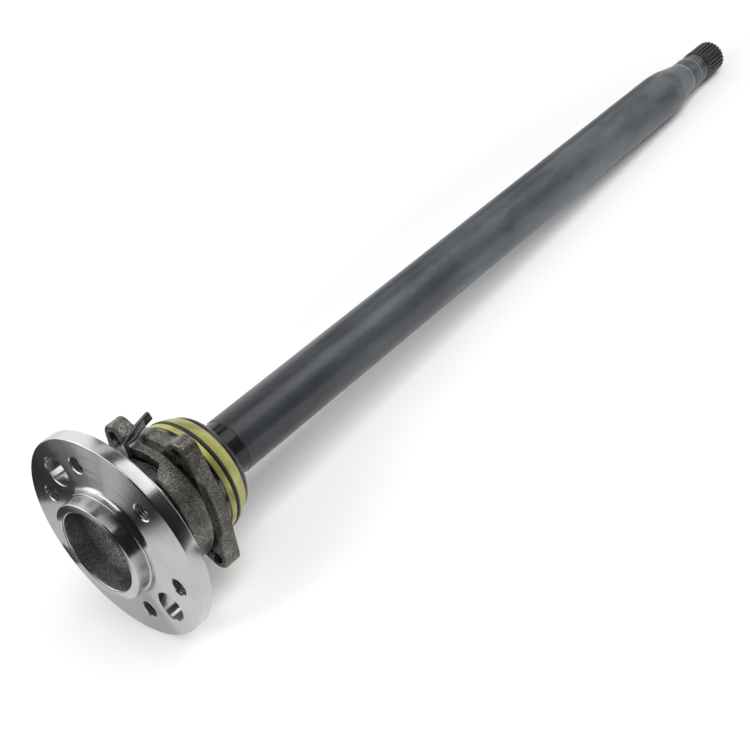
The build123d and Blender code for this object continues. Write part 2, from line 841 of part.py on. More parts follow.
# Inboard seal: a case pressed into the carrier, with a nose round the collar
seal_insert_end = carrier_end - inner_seal_insert_length
seal_inside = inner_seal_bore / 2 - inner_seal_wall_thickness
inner_seal_case = turned(
    [
        (seal_insert_end, seal_inside),
        (seal_insert_end, inner_seal_bore / 2),
        (carrier_end, inner_seal_bore / 2),
        (carrier_end, inner_seal_nose_diameter / 2),
        (seal_tip - inner_seal_nose_length / 2, inner_seal_nose_diameter / 2 - 0.5),
        (seal_tip, inner_seal_tip_diameter / 2),
        (seal_tip, inner_seal_web_diameter / 2),
        (seal_tip - seal_web_thickness, inner_seal_web_diameter / 2),
        (seal_tip - seal_web_thickness, seal_inside),
    ]
)
inner_seal_case.part.label = "inner_seal_case"
export_step(inner_seal_case.part, "parts/inner_seal_case.step")


def seal_lip(web_station, web_radius, land_radius, forward):
    """Rubber lip hung from a seal's web, reaching along the shaft to its sealing edge."""
    lip_radius = land_radius + seal_lip_gap
    tip_station = web_station - forward * seal_lip_length
    waist_station = web_station - forward * seal_web_thickness
    return turned(
        [
            (web_station, web_radius),
            (web_station, lip_radius + seal_lip_height),
            (tip_station + forward * seal_lip_thickness, lip_radius + seal_lip_height),
            (tip_station + forward * seal_lip_thickness / 2, lip_radius),
            (tip_station, lip_radius + seal_lip_height),
            (tip_station, lip_radius + seal_lip_height + seal_lip_thickness),
            (waist_station, lip_radius + seal_lip_height + seal_lip_thickness),
            (waist_station, web_radius),
        ]
    )


def garter_spring(web_station, land_radius, forward):
    """Spring ring that lies round a seal's lip over its sealing edge."""
    lip_top = land_radius + seal_lip_gap + seal_lip_height + seal_lip_thickness
    station = web_station - forward * (seal_lip_length - garter_diameter)
    with BuildPart() as spring:
        with BuildSketch(Plane.XZ):
            with Locations((station, lip_top + spring_seat_gap + garter_diameter / 2)):
                Circle(garter_diameter / 2)
        revolve(axis=Axis.X)
    return spring


inner_seal_lip = seal_lip(seal_tip, inner_seal_web_diameter / 2, collar_diameter / 2, 1)
inner_seal_lip.part.label = "inner_seal_lip"
export_step(inner_seal_lip.part, "parts/inner_seal_lip.step")

inner_seal_spring = garter_spring(seal_tip, collar_diameter / 2, 1)
inner_seal_spring.part.label = "inner_seal_spring"
export_step(inner_seal_spring.part, "parts/inner_seal_spring.step")

# Outboard seal against the housing shoulder, running on the hub's land
outer_seal_back = housing_shoulder
outer_seal_front = outer_seal_back - outer_seal_width
outer_seal_case = turned(
    [
        (outer_seal_front, seal_bore_diameter / 2 - outer_seal_thickness),
        (outer_seal_front, seal_bore_diameter / 2),
        (outer_seal_back, seal_bore_diameter / 2),
        (outer_seal_back, outer_seal_web_diameter / 2),
        (outer_seal_back - seal_web_thickness, outer_seal_web_diameter / 2),
        (outer_seal_back - seal_web_thickness, seal_bore_diameter / 2 - outer_seal_thickness),
    ]
)
outer_seal_case.part.label = "outer_seal_case"
export_step(outer_seal_case.part, "parts/outer_seal_case.step")

outer_seal_lip = seal_lip(
    outer_seal_back, outer_seal_web_diameter / 2, seal_land_diameter / 2, 1
)
outer_seal_lip.part.label = "outer_seal_lip"
export_step(outer_seal_lip.part, "parts/outer_seal_lip.step")

outer_seal_spring = garter_spring(outer_seal_back, seal_land_diameter / 2, 1)
outer_seal_spring.part.label = "outer_seal_spring"
export_step(outer_seal_spring.part, "parts/outer_seal_spring.step")

# Sensor bracket: a folded strip with its foot in the notch and its arm over the plate
foot_front = notch_end - bracket_thickness
foot_bottom_z = seal_bore_diameter / 2 - bracket_foot_reach_length
foot_side_y = bracket_fold_offset + bracket_foot_width
arm_foot_z = barrel_diameter / 2 + barrel_swell_height + bracket_clearance
bracket_top_z = arm_foot_z + bracket_shoulder_height
arm_knee_x = foot_front + bracket_rise_length
arm_knee_z = bracket_top_z + bracket_rise_height
arm_tip_x = arm_knee_x + bracket_arm_length
arm_tip_z = arm_knee_z + bracket_tip_height
with BuildPart() as sensor_bracket:
    with BuildSketch(Plane.YZ.offset(foot_front)):
        with BuildLine():
            Polyline(
                (bracket_fold_offset, foot_bottom_z),
                (bracket_fold_offset, bracket_top_z),
                (bracket_fold_offset + bracket_thickness, bracket_top_z),
                (foot_side_y, foot_bottom_z + bracket_foot_side_height),
                (
                    foot_side_y - bracket_foot_corner_length,
                    foot_bottom_z + bracket_foot_corner_length,
                ),
                (bracket_fold_offset + bracket_foot_width / 2, foot_bottom_z),
                close=True,
            )
        make_face()
    extrude(amount=bracket_thickness)
    with BuildSketch(Plane.XZ.offset(-bracket_fold_offset - bracket_thickness)):
        with BuildLine():
            Polyline(
                (foot_front, arm_foot_z),
                (foot_front, bracket_top_z),
                (arm_knee_x, arm_knee_z),
                (arm_tip_x, arm_tip_z),
                (arm_tip_x + bracket_tip_lean_length, arm_tip_z - bracket_arm_height),
                (arm_knee_x + bracket_knee_lead_length, arm_knee_z - bracket_arm_height),
                (arm_knee_x - bracket_knee_setback_length, arm_foot_z),
                close=True,
            )
        make_face()
    extrude(amount=bracket_thickness)
    fold_edges = sensor_bracket.edges().filter_by(Axis.Z).filter_by(
        lambda edge: abs(edge.center().X - foot_front) < 0.01
        and abs(edge.center().Y - bracket_fold_offset) < 0.01
    )
    fillet(fold_edges, bracket_fold_radius)
sensor_bracket.part.label = "sensor_bracket"
export_step(sensor_bracket.part, "parts/sensor_bracket.step")
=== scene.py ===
# %% [markdown]
# # A drive shaft, dressed
#
# This is the rear axle half shaft of a van. A forged shaft carries the wheel on its flange, and a
# cast housing with a double row bearing holds it on the axle tube. Its exact sizes come from a CAD
# model, which is loaded here as a fixed frame. Blender adds what that model leaves out: the finish
# of each surface, the rounding of each corner, the threads, and the light.
#
# The frame is in metres. +X runs along the shaft from the wheel face to the splines, +Z is up, and
# the origin is the centre of the wheel mounting face.

# %% Load the frame
import math

import bmesh
import bpy
from mathutils import Matrix, Vector, noise


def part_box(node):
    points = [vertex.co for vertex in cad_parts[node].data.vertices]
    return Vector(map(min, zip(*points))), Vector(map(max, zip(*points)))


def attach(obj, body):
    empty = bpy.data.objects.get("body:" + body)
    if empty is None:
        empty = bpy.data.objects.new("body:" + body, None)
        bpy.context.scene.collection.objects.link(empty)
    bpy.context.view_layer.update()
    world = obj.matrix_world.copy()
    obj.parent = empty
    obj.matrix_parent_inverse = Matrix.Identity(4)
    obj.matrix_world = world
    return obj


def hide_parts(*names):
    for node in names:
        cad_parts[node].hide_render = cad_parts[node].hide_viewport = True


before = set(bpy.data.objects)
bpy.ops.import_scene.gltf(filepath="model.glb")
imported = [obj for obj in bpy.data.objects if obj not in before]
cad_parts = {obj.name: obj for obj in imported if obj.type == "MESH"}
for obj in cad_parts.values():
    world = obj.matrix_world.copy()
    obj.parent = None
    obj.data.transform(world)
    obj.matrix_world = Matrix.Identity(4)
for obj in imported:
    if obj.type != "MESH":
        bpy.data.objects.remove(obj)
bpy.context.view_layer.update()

mm = 0.001

# %% [markdown]
# ## The camera
#
# The photograph was taken from ahead of the wheel flange, from its left and from above, with the
# camera rolled a little. The angles are named, so the view can be turned by changing one number. A
# sensor 36 mm wide is Blender's own, and the lens then sets how much of the shaft fits.

# %% Set up the camera
camera_place = (-0.39806, -0.76954, 0.53137)
camera_heading = 48.24
camera_dip = 28.92
camera_roll = -16.78
camera_lens = 65.72

camera_data = bpy.data.cameras.new("studio_camera")
camera_data.lens = camera_lens
camera_data.clip_end = 100
camera = bpy.data.objects.new("studio_camera", camera_data)
bpy.context.scene.collection.objects.link(camera)
heading_turn = Matrix.Rotation(math.radians(camera_heading - 90), 4, "Z")
dip_turn = Matrix.Rotation(math.radians(90 - camera_dip), 4, "X")
roll_turn = Matrix.Rotation(math.radians(camera_roll), 4, "Z")
camera.matrix_world = Matrix.Translation(camera_place) @ heading_turn @ dip_turn @ roll_turn
bpy.context.scene.camera = camera
print("camera at", [round(value, 3) for value in camera.location], "lens", camera_data.lens)

# %% [markdown]
# ## Building materials from nodes
#
# Each finish is a tree of nodes. Small helpers keep the trees short to read: they start a
# material, add a node and link what it is given, and make the ramps, noises and bumps that come
# back in every finish. All patterns read Object coordinates, which here are metres in the frame,
# so a pattern has a real size and stays on its piece when that turns.

# %% Helpers for materials
def new_material(name, colour, metallic, roughness):
    """A material with one plain shader, whose sockets can be linked afterwards."""
    material = bpy.data.materials.new(name)
    material.use_nodes = True
    shader = material.node_tree.nodes["Principled BSDF"]
    shader.inputs["Base Color"].default_value = (*colour, 1)
    shader.inputs["Metallic"].default_value = metallic
    shader.inputs["Roughness"].default_value = roughness
    return material


def add_node(material, kind, inputs, **settings):
    """A node of one kind. Each input is a number, a colour or another node's output."""
    node = material.node_tree.nodes.new("ShaderNode" + kind)
    for name, value in settings.items():
        setattr(node, name, value)
    for name, value in inputs.items():
        if isinstance(value, bpy.types.NodeSocket):
            material.node_tree.links.new(value, node.inputs[name])
        else:
            node.inputs[name].default_value = value
    return node


def add_ramp(material, factor, first, *others):
    """A colour ramp. Each stop is (position, colour), in rising order."""
    node = add_node(material, "ValToRGB", {"Fac": factor})
    stops = node.color_ramp.elements
    stops[0].position = first[0]
    stops[0].color = (*first[1], 1)
    stops[1].position = others[-1][0]
    stops[1].color = (*others[-1][1], 1)
    for position, colour in others[:-1]:
        stops.new(position).color = (*colour, 1)
    return node.outputs["Color"]


def grey(level):
    """A neutral colour for ramps and for roughness."""
    return (level, level, level)


def link_shader(material, **sockets):
    """Links outputs to the shader's sockets, named with _ for each space."""
    shader = material.node_tree.nodes["Principled BSDF"]
    for name, output in sockets.items():
        material.node_tree.links.new(output, shader.inputs[name.replace("_", " ")])


def add_noise(material, scale, detail=3.0, stretch=(1, 1, 1), rough=0.5):
    """Cloudy noise with scale in waves per metre, stretched along the axes if wanted."""
    place = add_node(material, "TexCoord", {}).outputs["Object"]
    turned = add_node(material, "Mapping", {"Vector": place, "Scale": stretch})
    inputs = {
        "Vector": turned.outputs["Vector"],
        "Scale": scale,
        "Detail": detail,
        "Roughness": rough,
    }
    return add_node(material, "TexNoise", inputs).outputs["Fac"]


def add_product(material, first, second):
    """Two colours multiplied."""
    product = add_node(
        material, "Mix", {0: 1.0, 6: first, 7: second}, data_type="RGBA", blend_type="MULTIPLY"
    )
    return product.outputs[2]


def add_span(material, value, low, high):
    """A value brought to 0 at low and 1 at high."""
    span = add_node(material, "MapRange", {"Value": value, "From Min": low, "From Max": high})
    return span.outputs["Result"]


def add_bump(material, height, depth, strength=1.0, under=None):
    """A bump of that depth in metres, over another one if it is given."""
    inputs = {"Height": height, "Distance": depth, "Strength": strength}
    if under is not None:
        inputs["Normal"] = under
    return add_node(material, "Bump", inputs).outputs["Normal"]


def add_station(material):
    """The station along the shaft, in metres."""
    place = add_node(material, "TexCoord", {}).outputs["Object"]
    return add_node(material, "SeparateXYZ", {"Vector": place}).outputs["X"]


def add_radius(material):
    """The distance from the shaft's axis, in metres."""
    place = add_node(material, "TexCoord", {}).outputs["Object"]
    across = add_node(
        material, "VectorMath", {0: place, 1: (0, 1, 1)}, operation="MULTIPLY"
    )
    length = add_node(
        material, "VectorMath", {0: across.outputs["Vector"]}, operation="LENGTH"
    )
    return length.outputs["Value"]


def add_turning(material, scale, detail=2.0):
    """Noise that only changes along the axis and with the radius, as a lathe tool leaves it."""
    marks = add_node(
        material, "CombineXYZ", {"X": add_station(material), "Y": add_radius(material)}
    )
    inputs = {"Vector": marks.outputs["Vector"], "Scale": scale, "Detail": detail}
    return add_node(material, "TexNoise", inputs).outputs["Fac"]


print("material helpers ready")

# %% [markdown]
# ## Turned steel
#
# The flange, its rim and the pilot are turned bright on a lathe. The tool leaves fine rings round
# the axis, so a reflection stays sharp along them and is drawn out across them. The shader's
# anisotropy does this: its tangent runs round X, and a quarter turn of rotation draws the light
# out towards and away from the axis. The long slopes of such rings all face outwards, which a
# bump that rises steadily towards the axis repeats without a line for each ring.

# %% Turned steel
ring_slope = 0.34
turned_steel = new_material("turned_steel_bright", (0.52, 0.515, 0.51), 1.0, 0.25)
steel_rings = add_turning(turned_steel, 1100, 3)
steel_wide_rings = add_turning(turned_steel, 260, 1)
steel_stains = add_noise(turned_steel, 28, 4)
steel_inward = add_node(
    turned_steel, "Math", {0: add_radius(turned_steel), 1: -ring_slope}, operation="MULTIPLY"
)
steel_lean = add_bump(turned_steel, steel_inward.outputs["Value"], 1.0)
link_shader(
    turned_steel,
    Base_Color=add_ramp(
        turned_steel, steel_stains, (0.35, (0.48, 0.475, 0.465)), (0.65, (0.55, 0.545, 0.54))
    ),
    Roughness=add_ramp(turned_steel, steel_wide_rings, (0.3, grey(0.21)), (0.7, grey(0.27))),
    Normal=add_bump(turned_steel, steel_rings, 0.004 * mm, 0.35, steel_lean),
    Tangent=add_node(
        turned_steel, "Tangent", {}, direction_type="RADIAL", axis="X"
    ).outputs["Tangent"],
)
steel_shader = turned_steel.node_tree.nodes["Principled BSDF"]
steel_shader.inputs["Anisotropic"].default_value = 0.8
steel_shader.inputs["Anisotropic Rotation"].default_value = 0.25
print("turned steel has", len(turned_steel.node_tree.nodes), "nodes")

# %% [markdown]
# ## Finishes of the forging
#
# Only the places that must be true are turned. The cup keeps the grey scale of the forge, darker at
# its mouth and with painted light on its floor. The long body is black, with clouds in it where the
# coating ran thick and thin. The coating is glossy beside the bearing and gets dull towards the
# splines, where its colour turns grey, partly real and partly a painted reflection of the bright
# surroundings. Two narrow rings at the steps of the neck are lighter.

# %% Forge scale in the cup
cup_mouth_station = -0.0165
cup_floor_station = 0.0195
forge_scale = new_material("forge_scale", (0.24, 0.235, 0.225), 0.6, 0.45)
scale_grains = add_noise(forge_scale, 1000, 3)
# Darker at the mouth of the cup and painted light on its floor: the colour is multiplied from 0.4 up to
# 2.4 towards the floor.
cup_floor_painted_light = add_ramp(
    forge_scale,
    add_span(forge_scale, add_station(forge_scale), cup_mouth_station, cup_floor_station),
    (0.4, grey(0.4)),
    (0.8, grey(2.4)),
)
scale_clouds = add_noise(forge_scale, 130, 3)
link_shader(
    forge_scale,
    Base_Color=add_product(
        forge_scale,
        add_ramp(
            forge_scale,
            scale_grains,
            (0.38, (0.09, 0.088, 0.085)),
            (0.5, (0.24, 0.235, 0.225)),
            (0.62, (0.4, 0.393, 0.38)),
        ),
        cup_floor_painted_light,
    ),
    Roughness=add_ramp(forge_scale, scale_clouds, (0.3, grey(0.34)), (0.7, grey(0.5))),
    Normal=add_bump(
        forge_scale, scale_grains, 0.22 * mm, 1.0, add_bump(forge_scale, scale_clouds, 0.8 * mm)
    ),
)

# %% Black coating on the body
coat_dark_end = 0.12
coat_grey_start = 0.46
body_black = new_material("body_black", (0.05, 0.052, 0.055), 0.25, 0.36)
coat_clouds = add_noise(body_black, 34, 5, (0.3, 1, 1), 0.6)
coat_grain = add_noise(body_black, 900, 3)
coat_chips = add_noise(body_black, 240, 4, (1, 1, 1), 0.75)
coat_along = add_span(body_black, add_station(body_black), coat_dark_end, coat_grey_start)
coat_tone = add_ramp(
    body_black,
    coat_clouds,
    (0.34, (0.55, 0.55, 0.56)),
    (0.5, (0.95, 0.97, 1.0)),
    (0.66, (1.3, 1.38, 1.44)),
)
# Greyer towards the splines: partly the coating's own colour and partly a painted reflection.
coat_grey_and_painted_sheen = add_ramp(
    body_black, coat_along, (0.0, (0.03, 0.031, 0.034)), (1.0, (0.086, 0.093, 0.101))
)
coat_flecks = add_ramp(body_black, coat_chips, (0.7, grey(1.0)), (0.74, grey(3.0)))
link_shader(
    body_black,
    Base_Color=add_product(
        body_black, add_product(body_black, coat_grey_and_painted_sheen, coat_tone), coat_flecks
    ),
    Roughness=add_ramp(body_black, coat_along, (0.0, grey(0.3)), (1.0, grey(0.4))),
    Normal=add_bump(body_black, coat_grain, 0.015 * mm, 1.0, add_bump(body_black, coat_clouds, 0.5 * mm)),
)

# %% Glossy black relief beside the bearing, blue grey neck and dark splines
relief_black = new_material("relief_black", (0.018, 0.018, 0.019), 0.4, 0.2)
relief_rings = add_turning(relief_black, 900, 3)
link_shader(
    relief_black,
    Roughness=add_ramp(relief_black, relief_rings, (0.35, grey(0.14)), (0.65, grey(0.26))),
    Normal=add_bump(relief_black, relief_rings, 0.01 * mm),
)

neck_grey = new_material("neck_grey", (0.08, 0.088, 0.094), 0.6, 0.3)
neck_rings = add_turning(neck_grey, 500, 3)
neck_clouds = add_noise(neck_grey, 60, 4)
# Two narrow rings at the steps of the neck are made four times lighter.
neck_lighter_rings = add_ramp(
    neck_grey,
    add_span(neck_grey, add_station(neck_grey), 0.83, 0.86),
    (0.15, grey(1)),
    (0.2, grey(4)),
    (0.25, grey(1)),
    (0.73, grey(1)),
    (0.78, grey(4)),
    (0.83, grey(1)),
)
link_shader(
    neck_grey,
    Base_Color=add_product(
        neck_grey,
        add_ramp(
            neck_grey, neck_clouds, (0.36, (0.045, 0.05, 0.054)), (0.62, (0.1, 0.11, 0.117))
        ),
        neck_lighter_rings,
    ),
    Roughness=add_ramp(neck_grey, neck_rings, (0.35, grey(0.25)), (0.65, grey(0.38))),
    Normal=add_bump(neck_grey, neck_rings, 0.02 * mm),
)

spline_dark = new_material("spline_dark", (0.02, 0.02, 0.021), 0.6, 0.3)
spline_grain = add_noise(spline_dark, 300, 3, (0.2, 1, 1))
link_shader(
    spline_dark,
    Base_Color=add_ramp(
        spline_dark, spline_grain, (0.36, grey(0.012)), (0.62, (0.045, 0.046, 0.048))
    ),
    Roughness=add_ramp(spline_dark, spline_grain, (0.35, grey(0.25)), (0.65, grey(0.4))),
)
print("five finishes of the forging")

# %% [markdown]
# ## Helpers for turned pieces
#
# Almost every piece here came off a lathe. In Blender a lathe is one operator: spin turns an
# outline about an axis. The outline is a few corners, each given as its station on the shaft, its
# radius, and how far it is rounded. Rounding the bare wire before it is spun is cheap, and gives
# each corner the highlight that a real edge has.

# %% Helpers for shapes
def turned_shape(corners, steps=160):
    """A closed shape turned about X from (station, radius, rounding) corners in millimetres."""
    shape = bmesh.new()
    points = []
    for station, radius, rounding in corners:
        points.append(shape.verts.new((station * mm, 0, radius * mm)))
    for first, second in zip(points, points[1:]):
        shape.edges.new((first, second))
    if corners[0][1] > 0:
        shape.edges.new((points[-1], points[0]))
    for point, (station, radius, rounding) in zip(points, corners):
        if rounding > 0:
            bmesh.ops.bevel(
                shape,
                geom=[point],
                offset=rounding * mm,
                offset_type="OFFSET",
                segments=4,
                profile=0.5,
                affect="VERTICES",
                material=-1,
            )
    bmesh.ops.spin(
        shape,
        geom=shape.verts[:] + shape.edges[:],
        cent=(0, 0, 0),
        axis=(1, 0, 0),
        angle=2 * math.pi,
        steps=steps,
        use_merge=True,
    )
    bmesh.ops.remove_doubles(shape, verts=shape.verts[:], dist=0.001 * mm)
    bmesh.ops.recalc_face_normals(shape, faces=shape.faces[:])
    return shape


def make_piece(shape, name, materials, sharp_angle=32):
    """The shape becomes an object, smooth but for its sharp edges."""
    data = bpy.data.meshes.new(name)
    shape.to_mesh(data)
    shape.free()
    data.shade_smooth()
    data.set_sharp_from_angle(angle=math.radians(sharp_angle))
    piece = bpy.data.objects.new(name, data)
    bpy.context.scene.collection.objects.link(piece)
    for material in materials:
        data.materials.append(material)
    return piece


def seat_piece(piece, body, slot, *nodes):
    """The piece moves with a body and may stand for CAD nodes, which it hides.
    The slot is not used.
    """
    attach(piece, body)
    if nodes:
        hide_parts(*nodes)
    print(piece.name, "has", len(piece.data.polygons), "faces")


def join_shapes(shapes):
    """Several shapes in one, as separate closed shells."""
    joined = bmesh.new()
    for shape in shapes:
        data = bpy.data.meshes.new("shell")
        shape.to_mesh(data)
        shape.free()
        joined.from_mesh(data)
        bpy.data.meshes.remove(data)
    return joined


def radius_of(point):
    """Distance of a point from the shaft's axis."""
    return math.hypot(point.y, point.z)


# %% [markdown]
# ## The axle shaft
#
# The shaft is one forging with its flange, so it is one outline from the floor of the cup round to
# the splined end. It is spun in 208 steps, eight for each of the 26 splines, so that a spline
# space can be sunk later by drawing some of its lines of points inwards.

# %% Sizes of the shaft, in millimetres
spigot_end = 89.2
spigot_radius = 44.5
shaft_low, shaft_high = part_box("axle_shaft")
flange_radius = shaft_high.y / mm
shaft_reach = shaft_high.x / mm
pilot_front = shaft_low.x / mm
flange_thickness = 11.5
pilot_radius = 42.0
pilot_root_radius = 43.5
pilot_root_front = -5.2
cup_mouth_radius = 35.0
cup_floor_radius = 28.0
cup_depth = 36.0
cup_dome = 10.0
hub_radius = 38.0
spline_radius = 17.05
spline_depth = 1.6
spline_start = shaft_reach - 34
spline_count = 26
steps_per_spline = 8
print("flange radius", flange_radius, "reach", shaft_reach, "pilot front", pilot_front)

# %% The outline of the shaft
cup_floor = pilot_front + cup_depth
cup_wall_end = cup_floor - cup_dome
dome_points = 10
cup_outline = []
for point in range(dome_points + 1):
    angle = math.radians(90 * point / dome_points)
    cup_outline.append(
        (cup_wall_end + cup_dome * math.cos(angle), cup_floor_radius * math.sin(angle), 0)
    )
wall_points = 9
for point in range(1, wall_points):
    share = point / wall_points
    cup_outline.append(
        (
            cup_wall_end + share * (pilot_front - cup_wall_end),
            cup_floor_radius + share * (cup_mouth_radius - cup_floor_radius),
            0,
        )
    )
front_outline = [
    (pilot_front, cup_mouth_radius, 0.9),
    (pilot_front, pilot_radius, 0.8),
    (pilot_root_front, pilot_radius, 0),
    (pilot_root_front, pilot_root_radius, 0.7),
    (0, pilot_root_radius, 4.2),
    (0, flange_radius, 1.2),
    (flange_thickness, flange_radius, 1.2),
    (flange_thickness, hub_radius, 6.0),
    (21, hub_radius, 0.4),
    (21, 36, 0),
    (31, 36, 0.4),
    (31, 33, 0),
    (50, 33, 0.4),
    (50, 31, 0),
    (52, 31, 0.4),
    (52, 25, 0),
    (99, 25, 0.5),
    (99, 23.7, 0),
]
shaft_outline = [
    (120, 23.7, 0),
    (120.4, 24.2, 0.3),
    (788, 24.2, 1.6),
    (802, 23.3, 1.0),
    (836, 17.15, 1.4),
    (853, 17.15, 0.3),
    (854.8, 16.2, 0.4),
    (spline_start, 16.2, 0.2),
    (spline_start, spline_radius, 0.3),
    (shaft_reach, spline_radius, 1.4),
    (shaft_reach, 4, 0.3),
    (shaft_reach - 4.16, 1.6, 0),
    (shaft_reach - 11, 1.6, 0),
    (shaft_reach - 11, 0, 0),
]
shaft_shape = turned_shape(
    cup_outline + front_outline + shaft_outline, spline_count * steps_per_spline
)
print("shaft spun,", len(shaft_shape.faces), "faces, volume", shaft_shape.calc_volume() / mm**3)

# %% [markdown]
# ## Splines
#
# A spline has sloped flanks and a narrow bottom. Of the eight lines of points in a pitch, three
# make the bottom of the space and five the tooth, so the two steps between them become the
# flanks. Towards the shaft the cutter lifted out, so the spaces get shallower there.

# %% Cut the splines
spline_runout = 7.0
space_lines = (0, 1, steps_per_spline - 1)
line_angle = 2 * math.pi / (spline_count * steps_per_spline)
sunk_points = 0
bmesh.ops.subdivide_edges(
    shaft_shape,
    edges=[
        edge
        for edge in shaft_shape.edges
        if all(
            spline_start * mm < point.co.x < (shaft_reach - 0.5) * mm
            and radius_of(point.co) > (spline_radius - 0.5) * mm
            for point in edge.verts
        )
        and abs(edge.verts[0].co.x - edge.verts[1].co.x) > 10 * mm
    ],
    cuts=5,
    use_grid_fill=True,
)
for point in shaft_shape.verts:
    if point.co.x > (spline_start - 0.01) * mm and radius_of(point.co) > 14 * mm:
        line = round(math.atan2(point.co.y, point.co.z) / line_angle) % steps_per_spline
        if line in space_lines:
            lift = max(0, 1 - (point.co.x / mm - spline_start) / spline_runout)
            space_radius = (spline_radius - spline_depth * (1 - lift)) * mm
            if radius_of(point.co) > space_radius:
                scale = space_radius / radius_of(point.co)
                point.co.yz = point.co.yz * scale
                sunk_points += 1
print("points drawn into spline spaces", sunk_points)

# %% [markdown]
# ## Zones of finish on the shaft
#
# One mesh can hold several materials. Each face gets its material from where it lies: inside the
# cup, along the body, on the neck or in the splines.

# %% Give each zone its finish
shaft_zones = (
    (pilot_front, turned_steel),
    (99, relief_black),
    (119.9, body_black),
    (789, neck_grey),
    (spline_start - 0.5, spline_dark),
)
shaft_finishes = [finish for start, finish in shaft_zones] + [forge_scale]
for face in shaft_shape.faces:
    middle = face.calc_center_median()
    zone = sum(middle.x > start * mm for start, finish in shaft_zones[1:])
    in_cup = middle.x > (pilot_front + 1.2) * mm and middle.x < cup_floor * mm
    if in_cup and radius_of(middle) < (cup_mouth_radius - 0.05) * mm:
        zone = len(shaft_zones)
    face.material_index = zone
shaft_shape.normal_update()
cup_faces = [face for face in shaft_shape.faces if face.material_index == len(shaft_zones)]
cup_points = {point for face in cup_faces for point in face.verts}
for point in cup_points:
    if point.co.x > (pilot_front + 1.5) * mm:
        lump = noise.fractal(point.co * 160, 0.6, 2.0, 4)
        point.co += point.normal * lump * 0.16 * mm
shaft_piece = make_piece(shaft_shape, "turned_axle_shaft", shaft_finishes)
print("cup faces", len(cup_faces))

# %% [markdown]
# ## Holes in the flange
#
# Holes are cut with a Boolean modifier. Each cutter is a small turned shape with the countersink
# at both ends already on it, moved to its place. The six tapped holes for the wheel bolts and the
# two larger access holes each lie on a circle of their own.

# %% Cut the holes
wheel_bolt_circle = 65.0
wheel_bolt_angle = 23.5
wheel_bolt_count = 6
wheel_bolt_radius = 7.0
access_circle = 64.0
access_angle = 53.5
access_radius = 12.5
cut_over = 2.0


def hole_cutter(radius, sink, start, end):
    """A drill with a cone of 45 degrees at both faces of the wall from start to end."""
    return [
        (start - cut_over, 0, 0),
        (start - cut_over, radius + sink + cut_over, 0),
        (start + sink, radius, 0),
        (end - sink, radius, 0),
        (end + cut_over, radius + sink + cut_over, 0),
        (end + cut_over, 0, 0),
    ]


def round_places(circle, count, first_angle):
    """Places of holes on a circle, with the angle from +Y towards +Z."""
    places = []
    for hole in range(count):
        angle = math.radians(first_angle + hole * 360 / count)
        places.append(Vector((0, circle * math.cos(angle), circle * math.sin(angle))) * mm)
    return places


def cut_holes(piece, holes, cutter_name, sharp_angle=32):
    """Cuts (corners, places) groups of holes out of a piece, all with one Boolean."""
    drill_shapes = []
    for corners, places in holes:
        for place in places:
            drill = turned_shape(corners, 48)
            bmesh.ops.translate(drill, verts=drill.verts[:], vec=place)
            drill_shapes.append(drill)
    joined = join_shapes(drill_shapes)
    drills = bpy.data.meshes.new(cutter_name)
    joined.to_mesh(drills)
    joined.free()
    cutter = bpy.data.objects.new(cutter_name, drills)
    bpy.context.scene.collection.objects.link(cutter)
    boolean = piece.modifiers.new("holes", "BOOLEAN")
    boolean.operation = "DIFFERENCE"
    boolean.solver = "EXACT"
    boolean.object = cutter
    view = bpy.context.evaluated_depsgraph_get()
    cut = bpy.data.meshes.new_from_object(piece.evaluated_get(view))
    piece.modifiers.clear()
    piece.data = cut
    cut.set_sharp_from_angle(angle=math.radians(sharp_angle))
    bpy.data.objects.remove(cutter)
    return len(cut.polygons)


wheel_bolt_places = round_places(wheel_bolt_circle, wheel_bolt_count, wheel_bolt_angle)
access_places = round_places(access_circle, 2, access_angle)
shaft_faces = cut_holes(
    shaft_piece,
    [
        (hole_cutter(wheel_bolt_radius, 0.8, 0, flange_thickness), wheel_bolt_places),
        (hole_cutter(access_radius, 0.6, 0, flange_thickness), access_places),
    ],
    "flange_drills",
)
seat_piece(shaft_piece, "shaft", "turned_steel", "axle_shaft")
print("faces after the holes", shaft_faces)

# %% [markdown]
# ## Threads
#
# A thread is a spin that also moves along its axis at every step, which makes a helix. A small
# ridge is wound up the wall of each hole, with its base a little inside the steel, and both of its
# ends are closed. The crests are cut steel, and the flanks between them get a near black material
# as painted shade.

# %% Wind the threads
thread_steps = 28
thread_steel = new_material("thread_steel_cut", (0.3, 0.295, 0.29), 0.7, 0.3)
thread_grain = add_noise(thread_steel, 500, 2)
link_shader(
    thread_steel,
    Roughness=add_ramp(thread_steel, thread_grain, (0.35, grey(0.24)), (0.65, grey(0.36))),
)
# Near black for the thread flanks: painted shade.
thread_flank_shade = new_material("thread_flank_painted_shade", (0.012, 0.0118, 0.011), 0.0, 0.4)
flank_shade_grain = add_noise(thread_flank_shade, 500, 2)
link_shader(
    thread_flank_shade,
    Roughness=add_ramp(thread_flank_shade, flank_shade_grain, (0.35, grey(0.34)), (0.65, grey(0.46))),
)


